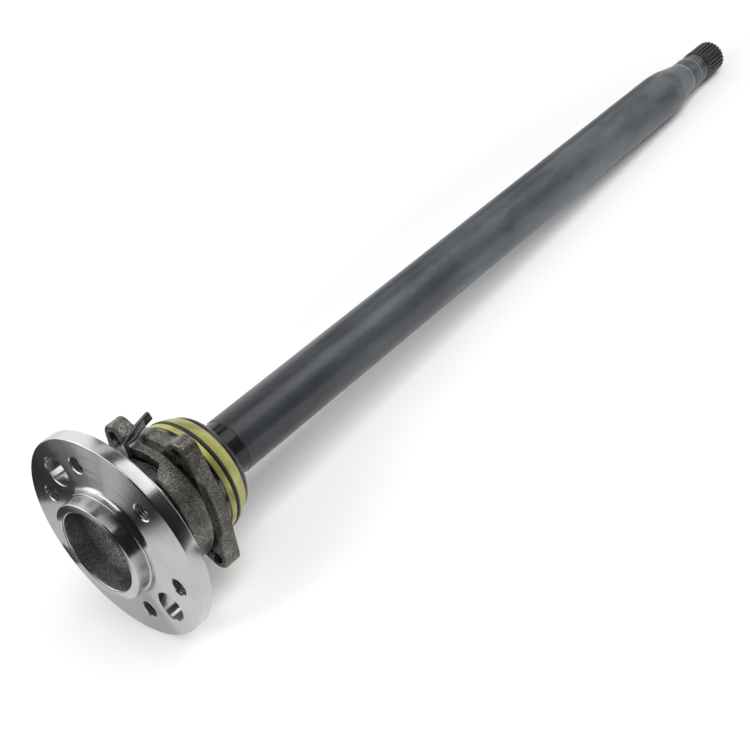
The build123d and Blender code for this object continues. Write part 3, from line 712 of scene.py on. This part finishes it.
def thread_shape(radius, depth, pitch, start, end):
    """An internal thread about X on a hole of that radius, in millimetres."""
    shape = bmesh.new()
    outline = (
        (start, radius + 0.15),
        (start + pitch * 0.92, radius + 0.15),
        (start + pitch * 0.6, radius - depth),
        (start + pitch * 0.32, radius - depth),
    )
    points = [shape.verts.new((x * mm, r * mm, 0)) for x, r in outline]
    for first, second in zip(points, points[1:] + points[:1]):
        shape.edges.new((first, second))
    steps = round(((end - start) / pitch - 1) * thread_steps)
    bmesh.ops.spin(
        shape,
        geom=shape.verts[:] + shape.edges[:],
        cent=(0, 0, 0),
        axis=(1, 0, 0),
        dvec=(pitch * mm / thread_steps, 0, 0),
        angle=2 * math.pi * steps / thread_steps,
        steps=steps,
    )
    ends = [edge for edge in shape.edges if edge.is_boundary]
    bmesh.ops.holes_fill(shape, edges=ends, sides=4)
    bmesh.ops.recalc_face_normals(shape, faces=shape.faces[:])
    shape.normal_update()
    # The flanks take the second material, a painted shade, and the crests keep the cut steel.
    for face in shape.faces:
        face.material_index = int(abs(face.normal.x) > 0.2)
    return shape


def wind_threads(name, places, radius, depth, pitch, start, end, material):
    """One piece with the same thread in each hole, its flanks in painted shade."""
    thread_shapes = []
    for place in places:
        thread = thread_shape(radius, depth, pitch, start, end)
        bmesh.ops.translate(thread, verts=thread.verts[:], vec=place)
        thread_shapes.append(thread)
    return make_piece(join_shapes(thread_shapes), name, [material, thread_flank_shade], 30)


wheel_threads = wind_threads(
    "wheel_bolt_threads", wheel_bolt_places, wheel_bolt_radius, 0.85, 2.0, 0.7,
    flange_thickness - 0.7, thread_steel,
)
seat_piece(wheel_threads, "shaft", "turned_steel")

# %% [markdown]
# ## The cast housing
#
# Cast iron has no sharp corner and no quite even face. The CAD shape is copied, its loose
# triangles are merged, and a voxel remesh gives it a fine even skin. Smoothing then rounds the
# corners as a sand mould does, and a little noise moves the skin in and out. A low bead and a
# valley run round the barrel ahead of the plate, and painted shade, together with some dirt,
# darkens the valley. The back of the plate and the register behind it are machined, so they are
# made apart and stay crisp: the skin is remeshed a little too long, cut off flat, and the register
# is turned.

# %% Cast and machined iron
cast_iron = new_material("cast_iron_rough", (0.2, 0.195, 0.18), 0.8, 0.42)
iron_grains = add_noise(cast_iron, 1250, 3, rough=0.6)
iron_pits = add_noise(cast_iron, 480, 3)
iron_clouds = add_noise(cast_iron, 90, 4)
iron_tone = add_ramp(
    cast_iron,
    iron_grains,
    (0.36, (0.06, 0.058, 0.052)),
    (0.52, (0.135, 0.131, 0.118)),
    (0.66, (0.4, 0.39, 0.36)),
)
iron_stain = add_ramp(cast_iron, iron_clouds, (0.34, grey(0.72)), (0.66, grey(1.25)))
# Painted shade, together with some dirt, darkens the valley ahead of the plate, most inside 54 mm radius.
valley_plain_radius = 56 * mm
valley_darkest_radius = 54 * mm
valley_low = add_span(cast_iron, add_radius(cast_iron), valley_plain_radius, valley_darkest_radius)
valley_near = add_ramp(
    cast_iron,
    add_span(cast_iron, add_station(cast_iron), 50 * mm, 60 * mm),
    (0.1, grey(0)),
    (0.25, grey(1)),
    (0.55, grey(1)),
    (0.75, grey(0)),
)
valley_share = add_node(
    cast_iron, "Math", {0: valley_low, 1: valley_near}, operation="MULTIPLY"
)
valley_shade_and_dirt = add_ramp(
    cast_iron, valley_share.outputs["Value"], (0.0, grey(1.0)), (1.0, grey(0.3))
)
link_shader(
    cast_iron,
    Base_Color=add_product(
        cast_iron, add_product(cast_iron, iron_tone, iron_stain), valley_shade_and_dirt
    ),
    Roughness=add_ramp(cast_iron, iron_pits, (0.35, grey(0.32)), (0.65, grey(0.46))),
    Normal=add_bump(
        cast_iron, iron_grains, 0.09 * mm, 1.0, add_bump(cast_iron, iron_pits, 0.2 * mm)
    ),
)
machined_iron = new_material("machined_iron", (0.42, 0.41, 0.4), 1.0, 0.25)
machined_rings = add_turning(machined_iron, 700, 3)
machined_stains = add_noise(machined_iron, 60, 3)
link_shader(
    machined_iron,
    Base_Color=add_ramp(
        machined_iron, machined_stains, (0.36, (0.1, 0.098, 0.095)), (0.64, (0.17, 0.167, 0.163))
    ),
    Roughness=add_ramp(machined_iron, machined_rings, (0.35, grey(0.2)), (0.65, grey(0.34))),
    Normal=add_bump(machined_iron, machined_rings, 0.006 * mm),
)
print("cast iron has", len(cast_iron.node_tree.nodes), "nodes")

# %% The skin of the casting
housing_voxel = 0.62 * mm
housing_lumps = 0.10 * mm
skin_smoothings = 2
plate_front = 52.4
plate_back = 66.2
skin_spare = 3.0
barrel_radius = 51.3
bead_station = 50.2
bead_width = 1.1
bead_rise = 0.8
valley_station = 53.7
valley_width = 2.4
valley_depth = 3.4
valley_top = 54.5
valley_fade = 3.5
plate_growth = 0.6
skin_shape = bmesh.new()
skin_shape.from_mesh(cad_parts["bearing_housing"].data)
bmesh.ops.remove_doubles(skin_shape, verts=skin_shape.verts[:], dist=0.001 * mm)


def cut_flat(shape, station):
    """Cuts a shape off at a station and returns the edges round the cut."""
    cut = bmesh.ops.bisect_plane(
        shape,
        geom=shape.verts[:] + shape.edges[:] + shape.faces[:],
        dist=0.0001 * mm,
        plane_co=(station * mm, 0, 0),
        plane_no=(1, 0, 0),
        clear_outer=True,
    )
    return [item for item in cut["geom_cut"] if isinstance(item, bmesh.types.BMEdge)]


cut_edges = cut_flat(skin_shape, plate_back - 0.1)
spare = bmesh.ops.extrude_edge_only(skin_shape, edges=cut_edges)
spare_points = [item for item in spare["geom"] if isinstance(item, bmesh.types.BMVert)]
bmesh.ops.translate(skin_shape, verts=spare_points, vec=(skin_spare * mm, 0, 0))
bmesh.ops.triangle_fill(
    skin_shape,
    use_beauty=True,
    use_dissolve=False,
    edges=[item for item in spare["geom"] if isinstance(item, bmesh.types.BMEdge)],
)
bmesh.ops.recalc_face_normals(skin_shape, faces=skin_shape.faces[:])
skin_copy = make_piece(skin_shape, "skin_copy", [])
remesh = skin_copy.modifiers.new("skin", "REMESH")
remesh.mode = "VOXEL"
remesh.voxel_size = housing_voxel
view_now = bpy.context.evaluated_depsgraph_get()
skin = bpy.data.meshes.new_from_object(skin_copy.evaluated_get(view_now))
housing_shape = bmesh.new()
housing_shape.from_mesh(skin)
bpy.data.objects.remove(skin_copy)
bpy.data.meshes.remove(skin)
for smoothing in range(skin_smoothings):
    bmesh.ops.smooth_vert(
        housing_shape,
        verts=housing_shape.verts[:],
        factor=0.5,
        use_axis_x=True,
        use_axis_y=True,
        use_axis_z=True,
    )
housing_shape.normal_update()
for point in housing_shape.verts:
    lump = noise.fractal(point.co * 350, 0.7, 2.0, 3)
    point.co += point.normal * lump * housing_lumps
    around = radius_of(point.co) / mm
    station = point.co.x / mm
    if station > plate_front and around > barrel_radius:
        point.co.yz += point.normal.yz * plate_growth * mm
    if around > barrel_radius - 1.5:
        bead = bead_rise * math.exp(-(((station - bead_station) / bead_width) ** 2))
        valley = valley_depth * math.exp(-(((station - valley_station) / valley_width) ** 2))
        share = min(1, max(0, (valley_top + valley_fade - around) / valley_fade))
        point.co.yz = point.co.yz * (1 + share * (bead - valley) / around)
print("skin of the casting has", len(housing_shape.faces), "faces")

# %% Machined back, register and bore
register_radius = 48.0
register_back = 73.7
bore_radius = 42.0
circlip_groove = (84.0, 86.15)
circlip_groove_radius = 43.2
for face in housing_shape.faces:
    face.material_index = 1
cut_edges = cut_flat(housing_shape, plate_back)
back_face = bmesh.ops.triangle_fill(
    housing_shape, use_beauty=True, use_dissolve=True, edges=cut_edges, normal=(1, 0, 0)
)
for item in back_face["geom"]:
    if isinstance(item, bmesh.types.BMFace):
        item.material_index = 0
register_shape = turned_shape(
    [
        (plate_back - 0.3, bore_radius, 0),
        (plate_back - 0.3, register_radius, 0),
        (register_back, register_radius, 0.4),
        (register_back, spigot_radius, 0),
        (spigot_end, spigot_radius, 0.6),
        (spigot_end, bore_radius, 0.3),
        (circlip_groove[1], bore_radius, 0),
        (circlip_groove[1], circlip_groove_radius, 0),
        (circlip_groove[0], circlip_groove_radius, 0),
        (circlip_groove[0], bore_radius, 0),
    ]
)
housing_shape = join_shapes([housing_shape, register_shape])
housing_piece = make_piece(
    housing_shape, "cast_bearing_housing", [machined_iron, cast_iron], 50
)

# %% Holes and threads in the ears
ear_hole_radius = 5.1
ear_y = 36.5 * mm
ear_z = 46.75 * mm
ear_places = [Vector((0, side * ear_y, end * ear_z)) for side in (-1, 1) for end in (-1, 1)]
ear_thread_iron = new_material("ear_thread_iron", (0.2, 0.195, 0.185), 0.6, 0.35)
ear_thread_grain = add_noise(ear_thread_iron, 500, 2)
link_shader(
    ear_thread_iron,
    Base_Color=add_ramp(
        ear_thread_iron, ear_thread_grain, (0.35, (0.14, 0.136, 0.128)), (0.65, (0.26, 0.254, 0.24))
    ),
)
cut_holes(
    housing_piece,
    [(hole_cutter(ear_hole_radius, 0.7, plate_front, plate_back), ear_places)],
    "ear_drills",
    50,
)
seat_piece(housing_piece, "housing", "cast_iron", "bearing_housing")
ear_threads = wind_threads(
    "housing_threads", ear_places, ear_hole_radius, 0.65, 1.5, plate_front + 0.6,
    plate_back - 0.6, ear_thread_iron,
)
seat_piece(ear_threads, "housing", "cast_iron")

# %% [markdown]
# ## The seal carrier and its ring
#
# The carrier is a turned ring with yellow zinc on it. Zinc plating follows the metal under it, so
# it shows the same fine rings, with a slightly uneven colour. The rubber ring stands a little
# proud of its groove, black and dull.

# %% Yellow zinc, rubber and the seal's coating
yellow_zinc = new_material("yellow_zinc_plate", (0.40, 0.39, 0.12), 0.6, 0.34)
zinc_clouds = add_noise(yellow_zinc, 70, 3)
zinc_rings = add_turning(yellow_zinc, 900, 3)
link_shader(
    yellow_zinc,
    Base_Color=add_ramp(
        yellow_zinc, zinc_clouds, (0.36, (0.33, 0.32, 0.085)), (0.64, (0.46, 0.45, 0.16))
    ),
    Roughness=add_ramp(yellow_zinc, zinc_rings, (0.35, grey(0.28)), (0.65, grey(0.42))),
    Normal=add_bump(yellow_zinc, zinc_rings, 0.01 * mm),
)

ring_rubber = new_material("ring_rubber_black", (0.009, 0.009, 0.01), 0.0, 0.5)
rubber_grain = add_noise(ring_rubber, 800, 3)
link_shader(
    ring_rubber,
    Roughness=add_ramp(ring_rubber, rubber_grain, (0.35, grey(0.42)), (0.65, grey(0.6))),
    Normal=add_bump(ring_rubber, rubber_grain, 0.015 * mm),
)

seal_black = new_material("seal_black_gloss", (0.016, 0.016, 0.018), 0.0, 0.28)
seal_grain = add_noise(seal_black, 500, 3)
link_shader(
    seal_black,
    Roughness=add_ramp(seal_black, seal_grain, (0.35, grey(0.22)), (0.65, grey(0.36))),
    Normal=add_bump(seal_black, seal_grain, 0.01 * mm),
)

# %% Turn the carrier, its ring and the seal case
carrier_low, carrier_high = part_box("seal_carrier")
carrier_front = carrier_low.x / mm
carrier_back = carrier_high.x / mm
carrier_radius = carrier_high.y / mm
ring_low, ring_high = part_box("carrier_o_ring")
groove_front = ring_low.x / mm - 0.1
groove_back = ring_high.x / mm + 0.1
groove_radius = ring_high.y / mm - 3.5
seal_bore = 41.0
carrier_shape = turned_shape(
    [
        (carrier_back, 44.2, 0.5),
        (carrier_back, seal_bore, 0.2),
        (spigot_end, seal_bore, 0),
        (spigot_end, spigot_radius, 0),
        (carrier_front, spigot_radius, 0),
        (carrier_front, carrier_radius, 0.7),
        (groove_front, carrier_radius, 0.25),
        (groove_front, groove_radius, 0.2),
        (groove_back, groove_radius, 0.2),
        (groove_back, carrier_radius, 0.25),
        ((groove_back + carrier_back) / 2, (carrier_radius + 44.2) / 2 + 0.7, 3.0),
    ]
)
carrier_piece = make_piece(carrier_shape, "plated_seal_carrier", [yellow_zinc])
seat_piece(carrier_piece, "housing", "yellow_zinc", "seal_carrier")

ring_centre = (ring_low.x + ring_high.x) / 2
ring_thickness = ring_high.x - ring_low.x
ring_shape = bmesh.new()
bmesh.ops.create_circle(ring_shape, segments=24, radius=ring_thickness / 2)
bmesh.ops.rotate(
    ring_shape, verts=ring_shape.verts[:], cent=(0, 0, 0), matrix=Matrix.Rotation(math.pi / 2, 3, "X")
)
bmesh.ops.translate(
    ring_shape,
    verts=ring_shape.verts[:],
    vec=(ring_centre, 0, ring_high.y - ring_thickness / 2),
)
bmesh.ops.spin(
    ring_shape,
    geom=ring_shape.verts[:] + ring_shape.edges[:],
    cent=(0, 0, 0),
    axis=(1, 0, 0),
    angle=2 * math.pi,
    steps=160,
    use_merge=True,
)
bmesh.ops.remove_doubles(ring_shape, verts=ring_shape.verts[:], dist=0.001 * mm)
bmesh.ops.recalc_face_normals(ring_shape, faces=ring_shape.faces[:])
ring_piece = make_piece(ring_shape, "rubber_carrier_ring", [ring_rubber])
seat_piece(ring_piece, "housing", "ring_rubber", "carrier_o_ring")

seal_low, seal_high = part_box("inner_seal_case")
seal_tip = seal_high.x / mm
seal_insert = seal_low.x / mm
seal_shape = turned_shape(
    [
        (seal_insert, 38.6, 0.2),
        (seal_insert, seal_bore, 0.3),
        (carrier_back, seal_bore, 0),
        (carrier_back, seal_high.y / mm, 0.5),
        (seal_tip - 3.25, seal_high.y / mm - 0.5, 1.0),
        (seal_tip, 40.0, 0.8),
        (seal_tip, 34.25, 0.2),
        (seal_tip - 1.5, 34.25, 0.2),
        (seal_tip - 1.5, 38.6, 0.5),
    ]
)
seal_piece = make_piece(seal_shape, "coated_seal_case", [seal_black])
seat_piece(seal_piece, "housing", "seal_black", "inner_seal_case")

# %% [markdown]
# ## The deflector and the sensor ring
#
# Behind the flange a dark pressed ring throws dirt outwards. Its rim is bright where it was
# turned. Beside it a smooth black band passes under the notch, where the wheel speed sensor sits.

# %% Dark pressing and smooth band
deflector_steel = new_material("deflector_dark", (0.03, 0.03, 0.031), 0.7, 0.3)
deflector_rings = add_turning(deflector_steel, 700, 3)
link_shader(
    deflector_steel,
    Base_Color=add_ramp(
        deflector_steel, deflector_rings, (0.36, grey(0.02)), (0.64, grey(0.05))
    ),
    Roughness=add_ramp(deflector_steel, deflector_rings, (0.35, grey(0.22)), (0.65, grey(0.36))),
)

encoder_black = new_material("encoder_band", (0.02, 0.019, 0.019), 0.0, 0.34)
band_grain = add_noise(encoder_black, 400, 3)
link_shader(
    encoder_black,
    Base_Color=add_ramp(
        encoder_black, band_grain, (0.36, (0.014, 0.013, 0.013)), (0.64, (0.032, 0.03, 0.029))
    ),
    Roughness=add_ramp(encoder_black, band_grain, (0.35, grey(0.26)), (0.65, grey(0.42))),
)

# %% Turn the deflector
deflector_low, deflector_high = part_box("deflector_ring")
deflector_front = deflector_low.x / mm
deflector_back = deflector_high.x / mm
deflector_radius = deflector_high.y / mm
deflector_wall = 1.6
deflector_rim = 4.4
deflector_shape = turned_shape(
    [
        (deflector_front, 36, 0),
        (deflector_front, 36 + deflector_wall, 0.3),
        (deflector_back - deflector_wall, 36 + deflector_wall, 0.6),
        (deflector_back - deflector_wall, deflector_radius - deflector_wall, 0.3),
        (deflector_back - deflector_rim, deflector_radius - deflector_wall, 0.2),
        (deflector_back - deflector_rim, deflector_radius, 0.4),
        (deflector_back, deflector_radius, 1.2),
        (deflector_back, 36, 0),
    ]
)
for face in deflector_shape.faces:
    middle = face.calc_center_median()
    if radius_of(middle) > (deflector_radius - 1.0) * mm:
        face.material_index = 1
deflector_piece = make_piece(
    deflector_shape, "pressed_deflector", [deflector_steel, turned_steel]
)
seat_piece(deflector_piece, "shaft", "forged_black", "deflector_ring")

# %% [markdown]
# ## The sensor bracket
#
# A strip of steel folded to an angle: its foot stands in the notch and its arm reaches back over
# the plate. It is black where it was cut and at its tip. Its faces that look to -Y, short of the tip,
# are painted grey inside a black border, which inset leaves, and the front face of the foot is
# painted light grey: both greys are painted light, and the black border is partly a painted shadow
# line. The CAD copy is merged into clean faces, a narrow bevel breaks its edges, and each face gets
# its material from the way it faces. The foot and the arm are drawn out a little, because the
# photograph shows a heavier strip.

# %% Dress the bracket
bracket_tip_length = 7.0
bracket_middle = 5.5
bracket_arm_low = 51.0
bracket_arm_start = 45.0
bracket_arm_thicker = 1.6
bracket_foot_thicker = 1.5
bracket_edge_width = 1.2
bracket_black = new_material("bracket_black_paint", (0.018, 0.018, 0.02), 0.0, 0.3)
bracket_grain = add_noise(bracket_black, 450, 3)
bracket_wear = add_noise(bracket_black, 160, 3)
link_shader(
    bracket_black,
    Base_Color=add_ramp(
        bracket_black,
        bracket_wear,
        (0.36, (0.008, 0.008, 0.009)),
        (0.6, (0.02, 0.02, 0.022)),
        (0.74, (0.07, 0.07, 0.075)),
    ),
    Roughness=add_ramp(bracket_black, bracket_grain, (0.35, grey(0.22)), (0.65, grey(0.4))),
    Normal=add_bump(bracket_black, bracket_grain, 0.02 * mm),
)


def painted_grey_finish(name, darkest, lightest):
    """A grey that stands in for light on a face, cool grey between two levels."""
    material = new_material(name, grey(lightest), 0.2, 0.4)
    grain = add_noise(material, 300, 4)
    dark = (darkest * 0.94, darkest, darkest * 1.07)
    light = (lightest * 0.94, lightest, lightest * 1.07)
    link_shader(
        material,
        Base_Color=add_ramp(material, grain, (0.35, dark), (0.65, light)),
        Roughness=add_ramp(material, grain, (0.35, grey(0.32)), (0.65, grey(0.48))),
    )
    return material


# Painted light: a grey for the faces that look to -Y and a light grey for the front face of the foot.
arm_painted_sheen = painted_grey_finish("bracket_arm_painted_sheen", 0.15, 0.25)
foot_painted_light = painted_grey_finish("bracket_foot_painted_light", 0.55, 0.75)
bracket_shape = bmesh.new()
bracket_shape.from_mesh(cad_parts["sensor_bracket"].data)
bmesh.ops.remove_doubles(bracket_shape, verts=bracket_shape.verts[:], dist=0.001 * mm)
bmesh.ops.dissolve_limit(
    bracket_shape,
    angle_limit=math.radians(1),
    verts=bracket_shape.verts[:],
    edges=bracket_shape.edges[:],
)
bracket_edges = [
    edge for edge in bracket_shape.edges if edge.calc_face_angle(0) > math.radians(40)
]
bmesh.ops.bevel(
    bracket_shape,
    geom=bracket_edges,
    offset=0.22 * mm,
    offset_type="OFFSET",
    segments=2,
    profile=0.5,
    affect="EDGES",
    material=-1,
)
for point in bracket_shape.verts:
    if point.co.y > bracket_middle * mm and point.co.z > bracket_arm_low * mm:
        if point.co.x > bracket_arm_start * mm:
            point.co.y += bracket_arm_thicker * mm
foot_front = min(point.co.x for point in bracket_shape.verts)
for point in bracket_shape.verts:
    if point.co.x < foot_front + 1.2 * mm:
        point.co.x -= bracket_foot_thicker * mm
bracket_reach = max(point.co.x for point in bracket_shape.verts)
tip_start = bracket_reach - bracket_tip_length * mm
bmesh.ops.bisect_plane(
    bracket_shape,
    geom=bracket_shape.verts[:] + bracket_shape.edges[:] + bracket_shape.faces[:],
    dist=0.001 * mm,
    plane_co=(tip_start, 0, 0),
    plane_no=(1, 0, 0),
)
bracket_shape.normal_update()
arm_faces = [
    face
    for face in bracket_shape.faces
    if face.normal.y < -0.95 and face.calc_center_median().x < tip_start
]
# The black border round the grey is partly a painted shadow line.
bmesh.ops.inset_region(bracket_shape, faces=arm_faces, thickness=bracket_edge_width * mm)
for face in arm_faces:
    face.material_index = 1
for face in bracket_shape.faces:
    if face.normal.x < -0.95:
        face.material_index = 2
bracket_piece = make_piece(
    bracket_shape, "folded_sensor_bracket", [bracket_black, arm_painted_sheen, foot_painted_light], 35
)
seat_piece(bracket_piece, "housing", "bracket_black", "sensor_bracket")
print("the bracket reaches", round(bracket_reach / mm, 1), "mm")

# %% [markdown]
# ## Pieces inside
#
# The bearing and the seals can hardly be seen, and the CAD shapes are right as they are. They keep
# their meshes and get ground steel, pressed steel, spring steel and rubber.

# %% Finishes for the pieces inside
bearing_steel = new_material("bearing_steel_ground", (0.55, 0.55, 0.56), 1.0, 0.14)
ground_marks = add_turning(bearing_steel, 1600, 3)
link_shader(
    bearing_steel,
    Roughness=add_ramp(bearing_steel, ground_marks, (0.35, grey(0.1)), (0.65, grey(0.2))),
    Normal=add_bump(bearing_steel, ground_marks, 0.004 * mm),
)
cage_steel = new_material("cage_steel_pressed", (0.36, 0.35, 0.33), 1.0, 0.36)
cage_clouds = add_noise(cage_steel, 180, 4)
link_shader(
    cage_steel,
    Base_Color=add_ramp(
        cage_steel, cage_clouds, (0.36, (0.28, 0.27, 0.25)), (0.64, (0.42, 0.41, 0.39))
    ),
    Roughness=add_ramp(cage_steel, cage_clouds, (0.35, grey(0.3)), (0.65, grey(0.45))),
)
spring_steel = new_material("spring_steel_oiled", (0.2, 0.2, 0.21), 1.0, 0.3)
spring_clouds = add_noise(spring_steel, 220, 3)
link_shader(
    spring_steel,
    Base_Color=add_ramp(
        spring_steel, spring_clouds, (0.36, grey(0.14)), (0.64, (0.26, 0.26, 0.27))
    ),
    Roughness=add_ramp(spring_steel, spring_clouds, (0.35, grey(0.24)), (0.65, grey(0.38))),
)
inside_finishes = {
    "encoder_hoop": cage_steel,
    "encoder_rubber": encoder_black,
    "inner_race_outboard": bearing_steel,
    "inner_race_inboard": bearing_steel,
    "rollers_outboard": bearing_steel,
    "rollers_inboard": bearing_steel,
    "cage_outboard": cage_steel,
    "cage_inboard": cage_steel,
    "bearing_outer_race": bearing_steel,
    "lock_collar": bearing_steel,
    "bearing_circlip": spring_steel,
    "inner_seal_lip": ring_rubber,
    "inner_seal_spring": spring_steel,
    "outer_seal_case": cage_steel,
    "outer_seal_lip": ring_rubber,
    "outer_seal_spring": spring_steel,
}
for node, material in inside_finishes.items():
    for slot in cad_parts[node].material_slots:
        slot.material = material
print("nodes that keep their CAD shape", len(inside_finishes))

# %% [markdown]
# ## Floor
#
# The shaft lies on the table with the rim of its flange and the tip of its splines, so the table
# leans a little in the shaft's own frame. Near the shaft the floor is a lit surface that takes the
# shadow. Further out its colour gives way to a plain white glow that needs no light, which the
# camera and the metal both see.

# %% The floor
floor_gap = 0.4
floor_near_size = (0.47, 0.2)
floor_near_glow = 0.04
floor_lean = math.atan2(flange_radius - spline_radius, shaft_reach - flange_thickness)
floor_place = Vector((flange_thickness * mm, 0, -(flange_radius + floor_gap) * mm))
floor_turn = Matrix.Translation(floor_place) @ Matrix.Rotation(-floor_lean, 4, "Y")

floor_shape = bmesh.new()
bmesh.ops.create_grid(floor_shape, x_segments=1, y_segments=1, size=20)
bmesh.ops.transform(floor_shape, matrix=floor_turn, verts=floor_shape.verts[:])
floor_white = new_material("floor_white", grey(0.9), 0.0, 0.9)
floor_middle = ((shaft_reach / 2 + 30) * mm / floor_near_size[0], 0, 0)
floor_away = add_node(
    floor_white,
    "Mapping",
    {
        "Vector": add_node(floor_white, "TexCoord", {}).outputs["Object"],
        "Location": [-value for value in floor_middle],
        "Scale": (1 / floor_near_size[0], 1 / floor_near_size[1], 0),
    },
)
floor_distance = add_node(
    floor_white, "VectorMath", {0: floor_away.outputs["Vector"]}, operation="LENGTH"
)
floor_share = add_span(floor_white, floor_distance.outputs["Value"], 0.9, 1.3)


def add_seen(material):
    """1 for a ray from the camera, a mirror or glass, and 0 for any other."""
    path = add_node(material, "LightPath", {}).outputs
    mirrored = add_node(
        material, "Math", {0: path["Is Camera Ray"], 1: path["Is Glossy Ray"]}, operation="MAXIMUM"
    )
    seen = add_node(
        material,
        "Math",
        {0: mirrored.outputs["Value"], 1: path["Is Transmission Ray"]},
        operation="MAXIMUM",
    )
    return seen.outputs["Value"]


floor_glow = add_node(
    floor_white,
    "Math",
    {
        0: add_ramp(floor_white, floor_share, (0.0, grey(floor_near_glow)), (1.0, grey(1.0))),
        1: add_seen(floor_white),
    },
    operation="MULTIPLY",
)
floor_white.node_tree.nodes["Principled BSDF"].inputs["Emission Color"].default_value = (1, 1, 1, 1)
link_shader(
    floor_white,
    Base_Color=add_ramp(floor_white, floor_share, (0.0, grey(0.9)), (1.0, grey(0.02))),
    Emission_Strength=floor_glow.outputs["Value"],
)
floor = make_piece(floor_shape, "studio_floor", [floor_white])
print("the floor leans by", round(math.degrees(floor_lean), 2), "degrees")

# %% [markdown]
# ## Lamps, sky and flags
#
# One large soft box over the shaft lights it and throws the soft shadow. A smaller one on the left
# lights the cup and the tops of the ears. What polished metal looks like depends on what it
# mirrors, so photographers stand white screens and black flags round it. The screens and flags
# here are seen only in mirrors: they throw no shadow and give the matt surfaces no light.

# %% The lamps and the sky
lamp_target = Vector((0.4, 0, 0))
sky_level = 0.25


def hang_soft_box(name, place, size, power):
    """A rectangular lamp that looks at the shaft and isn't seen in mirrors."""
    data = bpy.data.lights.new(name, "AREA")
    data.shape = "RECTANGLE"
    data.size, data.size_y = size
    data.energy = power
    lamp = bpy.data.objects.new(name, data)
    bpy.context.scene.collection.objects.link(lamp)
    lamp.location = place
    lamp.rotation_euler = (lamp_target - Vector(place)).to_track_quat("-Z", "Y").to_euler()
    lamp.visible_glossy = False
    return lamp


key_box = hang_soft_box("key_box", (0.38, -1.1, 1.6), (2.4, 1.3), 44)
left_box = hang_soft_box("left_box", (-1.6, 0.2, 1.1), (1.0, 1.0), 14)

world = bpy.data.worlds.new("studio_world")
bpy.context.scene.world = world
world.use_nodes = True
background = world.node_tree.nodes["Background"]
background.inputs["Color"].default_value = (1, 1, 1, 1)
world_level = add_node(
    world, "MapRange", {"Value": add_seen(world), "To Min": sky_level, "To Max": 1.0}
)
world.node_tree.links.new(world_level.outputs["Result"], background.inputs["Strength"])
print("lamps of", key_box.data.energy, "and", left_box.data.energy, "W")

# %% Screens and flags
flag_black = new_material("flag_black", grey(0.01), 0.0, 0.9)


def glowing_screen(name, level):
    """A white that glows by itself at that level."""
    material = new_material(name, grey(0), 0.0, 0.9)
    shader = material.node_tree.nodes["Principled BSDF"]
    shader.inputs["Emission Color"].default_value = (1, 1, 1, 1)
    shader.inputs["Emission Strength"].default_value = level
    return material


def stand_card(name, low, high, material, turn=Matrix()):
    """A thin card between two corners, seen only in mirrors."""
    size = Vector(high) - Vector(low)
    card = bmesh.new()
    bmesh.ops.create_cube(card, size=1)
    bmesh.ops.scale(card, verts=card.verts[:], vec=size)
    bmesh.ops.translate(card, verts=card.verts[:], vec=Vector(low) + size / 2)
    bmesh.ops.transform(card, matrix=turn, verts=card.verts[:])
    piece = make_piece(card, name, [material])
    piece.visible_camera = False
    piece.visible_diffuse = False
    piece.visible_shadow = False
    piece.visible_transmission = False
    return piece


top_glow = glowing_screen("top_glow", 1.8)
left_glow = glowing_screen("left_glow", 2.2)
side_glow = glowing_screen("side_glow", 1.4)
low_glow = glowing_screen("low_glow", 0.8)
flag_grey = new_material("flag_grey", grey(0.4), 0.0, 0.9)
cards = [
    stand_card("top_screen", (0.3, -1.69, 1.8), (2.4, -0.06, 1.81), top_glow),
    stand_card("left_top_screen", (-1.9, -0.7, 2.1), (-0.6, 1.4, 2.11), left_glow),
    stand_card("side_screen", (-0.4, 1.8, 0.3), (1.6, 1.81, 3.2), side_glow),
    stand_card("far_side_flag", (1.6, 1.8, 0.45), (3.6, 1.81, 3.2), flag_black),
    stand_card("low_side_card", (-2.4, 1.78, -0.3), (-0.3, 1.79, 0.5), flag_grey),
    stand_card("left_side_screen", (-2.4, 1.8, 0.5), (-0.4, 1.81, 2.4), left_glow),
    stand_card("left_low_screen", (-2.39, 0.8, -0.3), (-2.38, 1.8, 1.5), low_glow),
    stand_card("right_flag", (-2.4, -1.92, -0.3), (3.6, -1.9, 2.3), flag_black),
    stand_card("left_flag", (-2.42, -1.9, -0.3), (-2.4, 1.8, 2.3), flag_black),
    stand_card("high_flag", (-2.4, -1.9, 2.3), (3.6, 0.62, 2.31), flag_black),
]
table_cards = (
    ("table_end_flag", (-2.4, -1.9), (3.6, -0.42), flag_black),
    ("table_left_flag", (-2.4, 0.265), (0.06, 1.78), flag_black),
    ("table_left_card", (-1.9, 0.42), (-0.6, 1.7), flag_grey),
    ("table_near_flag", (-2.4, 0.03), (-0.1, 0.27), flag_black),
    ("table_foot_flag", (-0.06, 0.122), (0.06, 0.158), flag_black),
    ("table_side_flag", (0.085, -0.3), (0.14, -0.09), flag_black),
)
for layer, (name, low, high, material) in enumerate(table_cards):
    base = (2 + 2 * layer) * mm
    cards.append(stand_card(name, (*low, base), (*high, base + mm), material, floor_turn))
bpy.context.scene.view_settings.view_transform = "Standard"
print("cards", [card.name for card in cards])
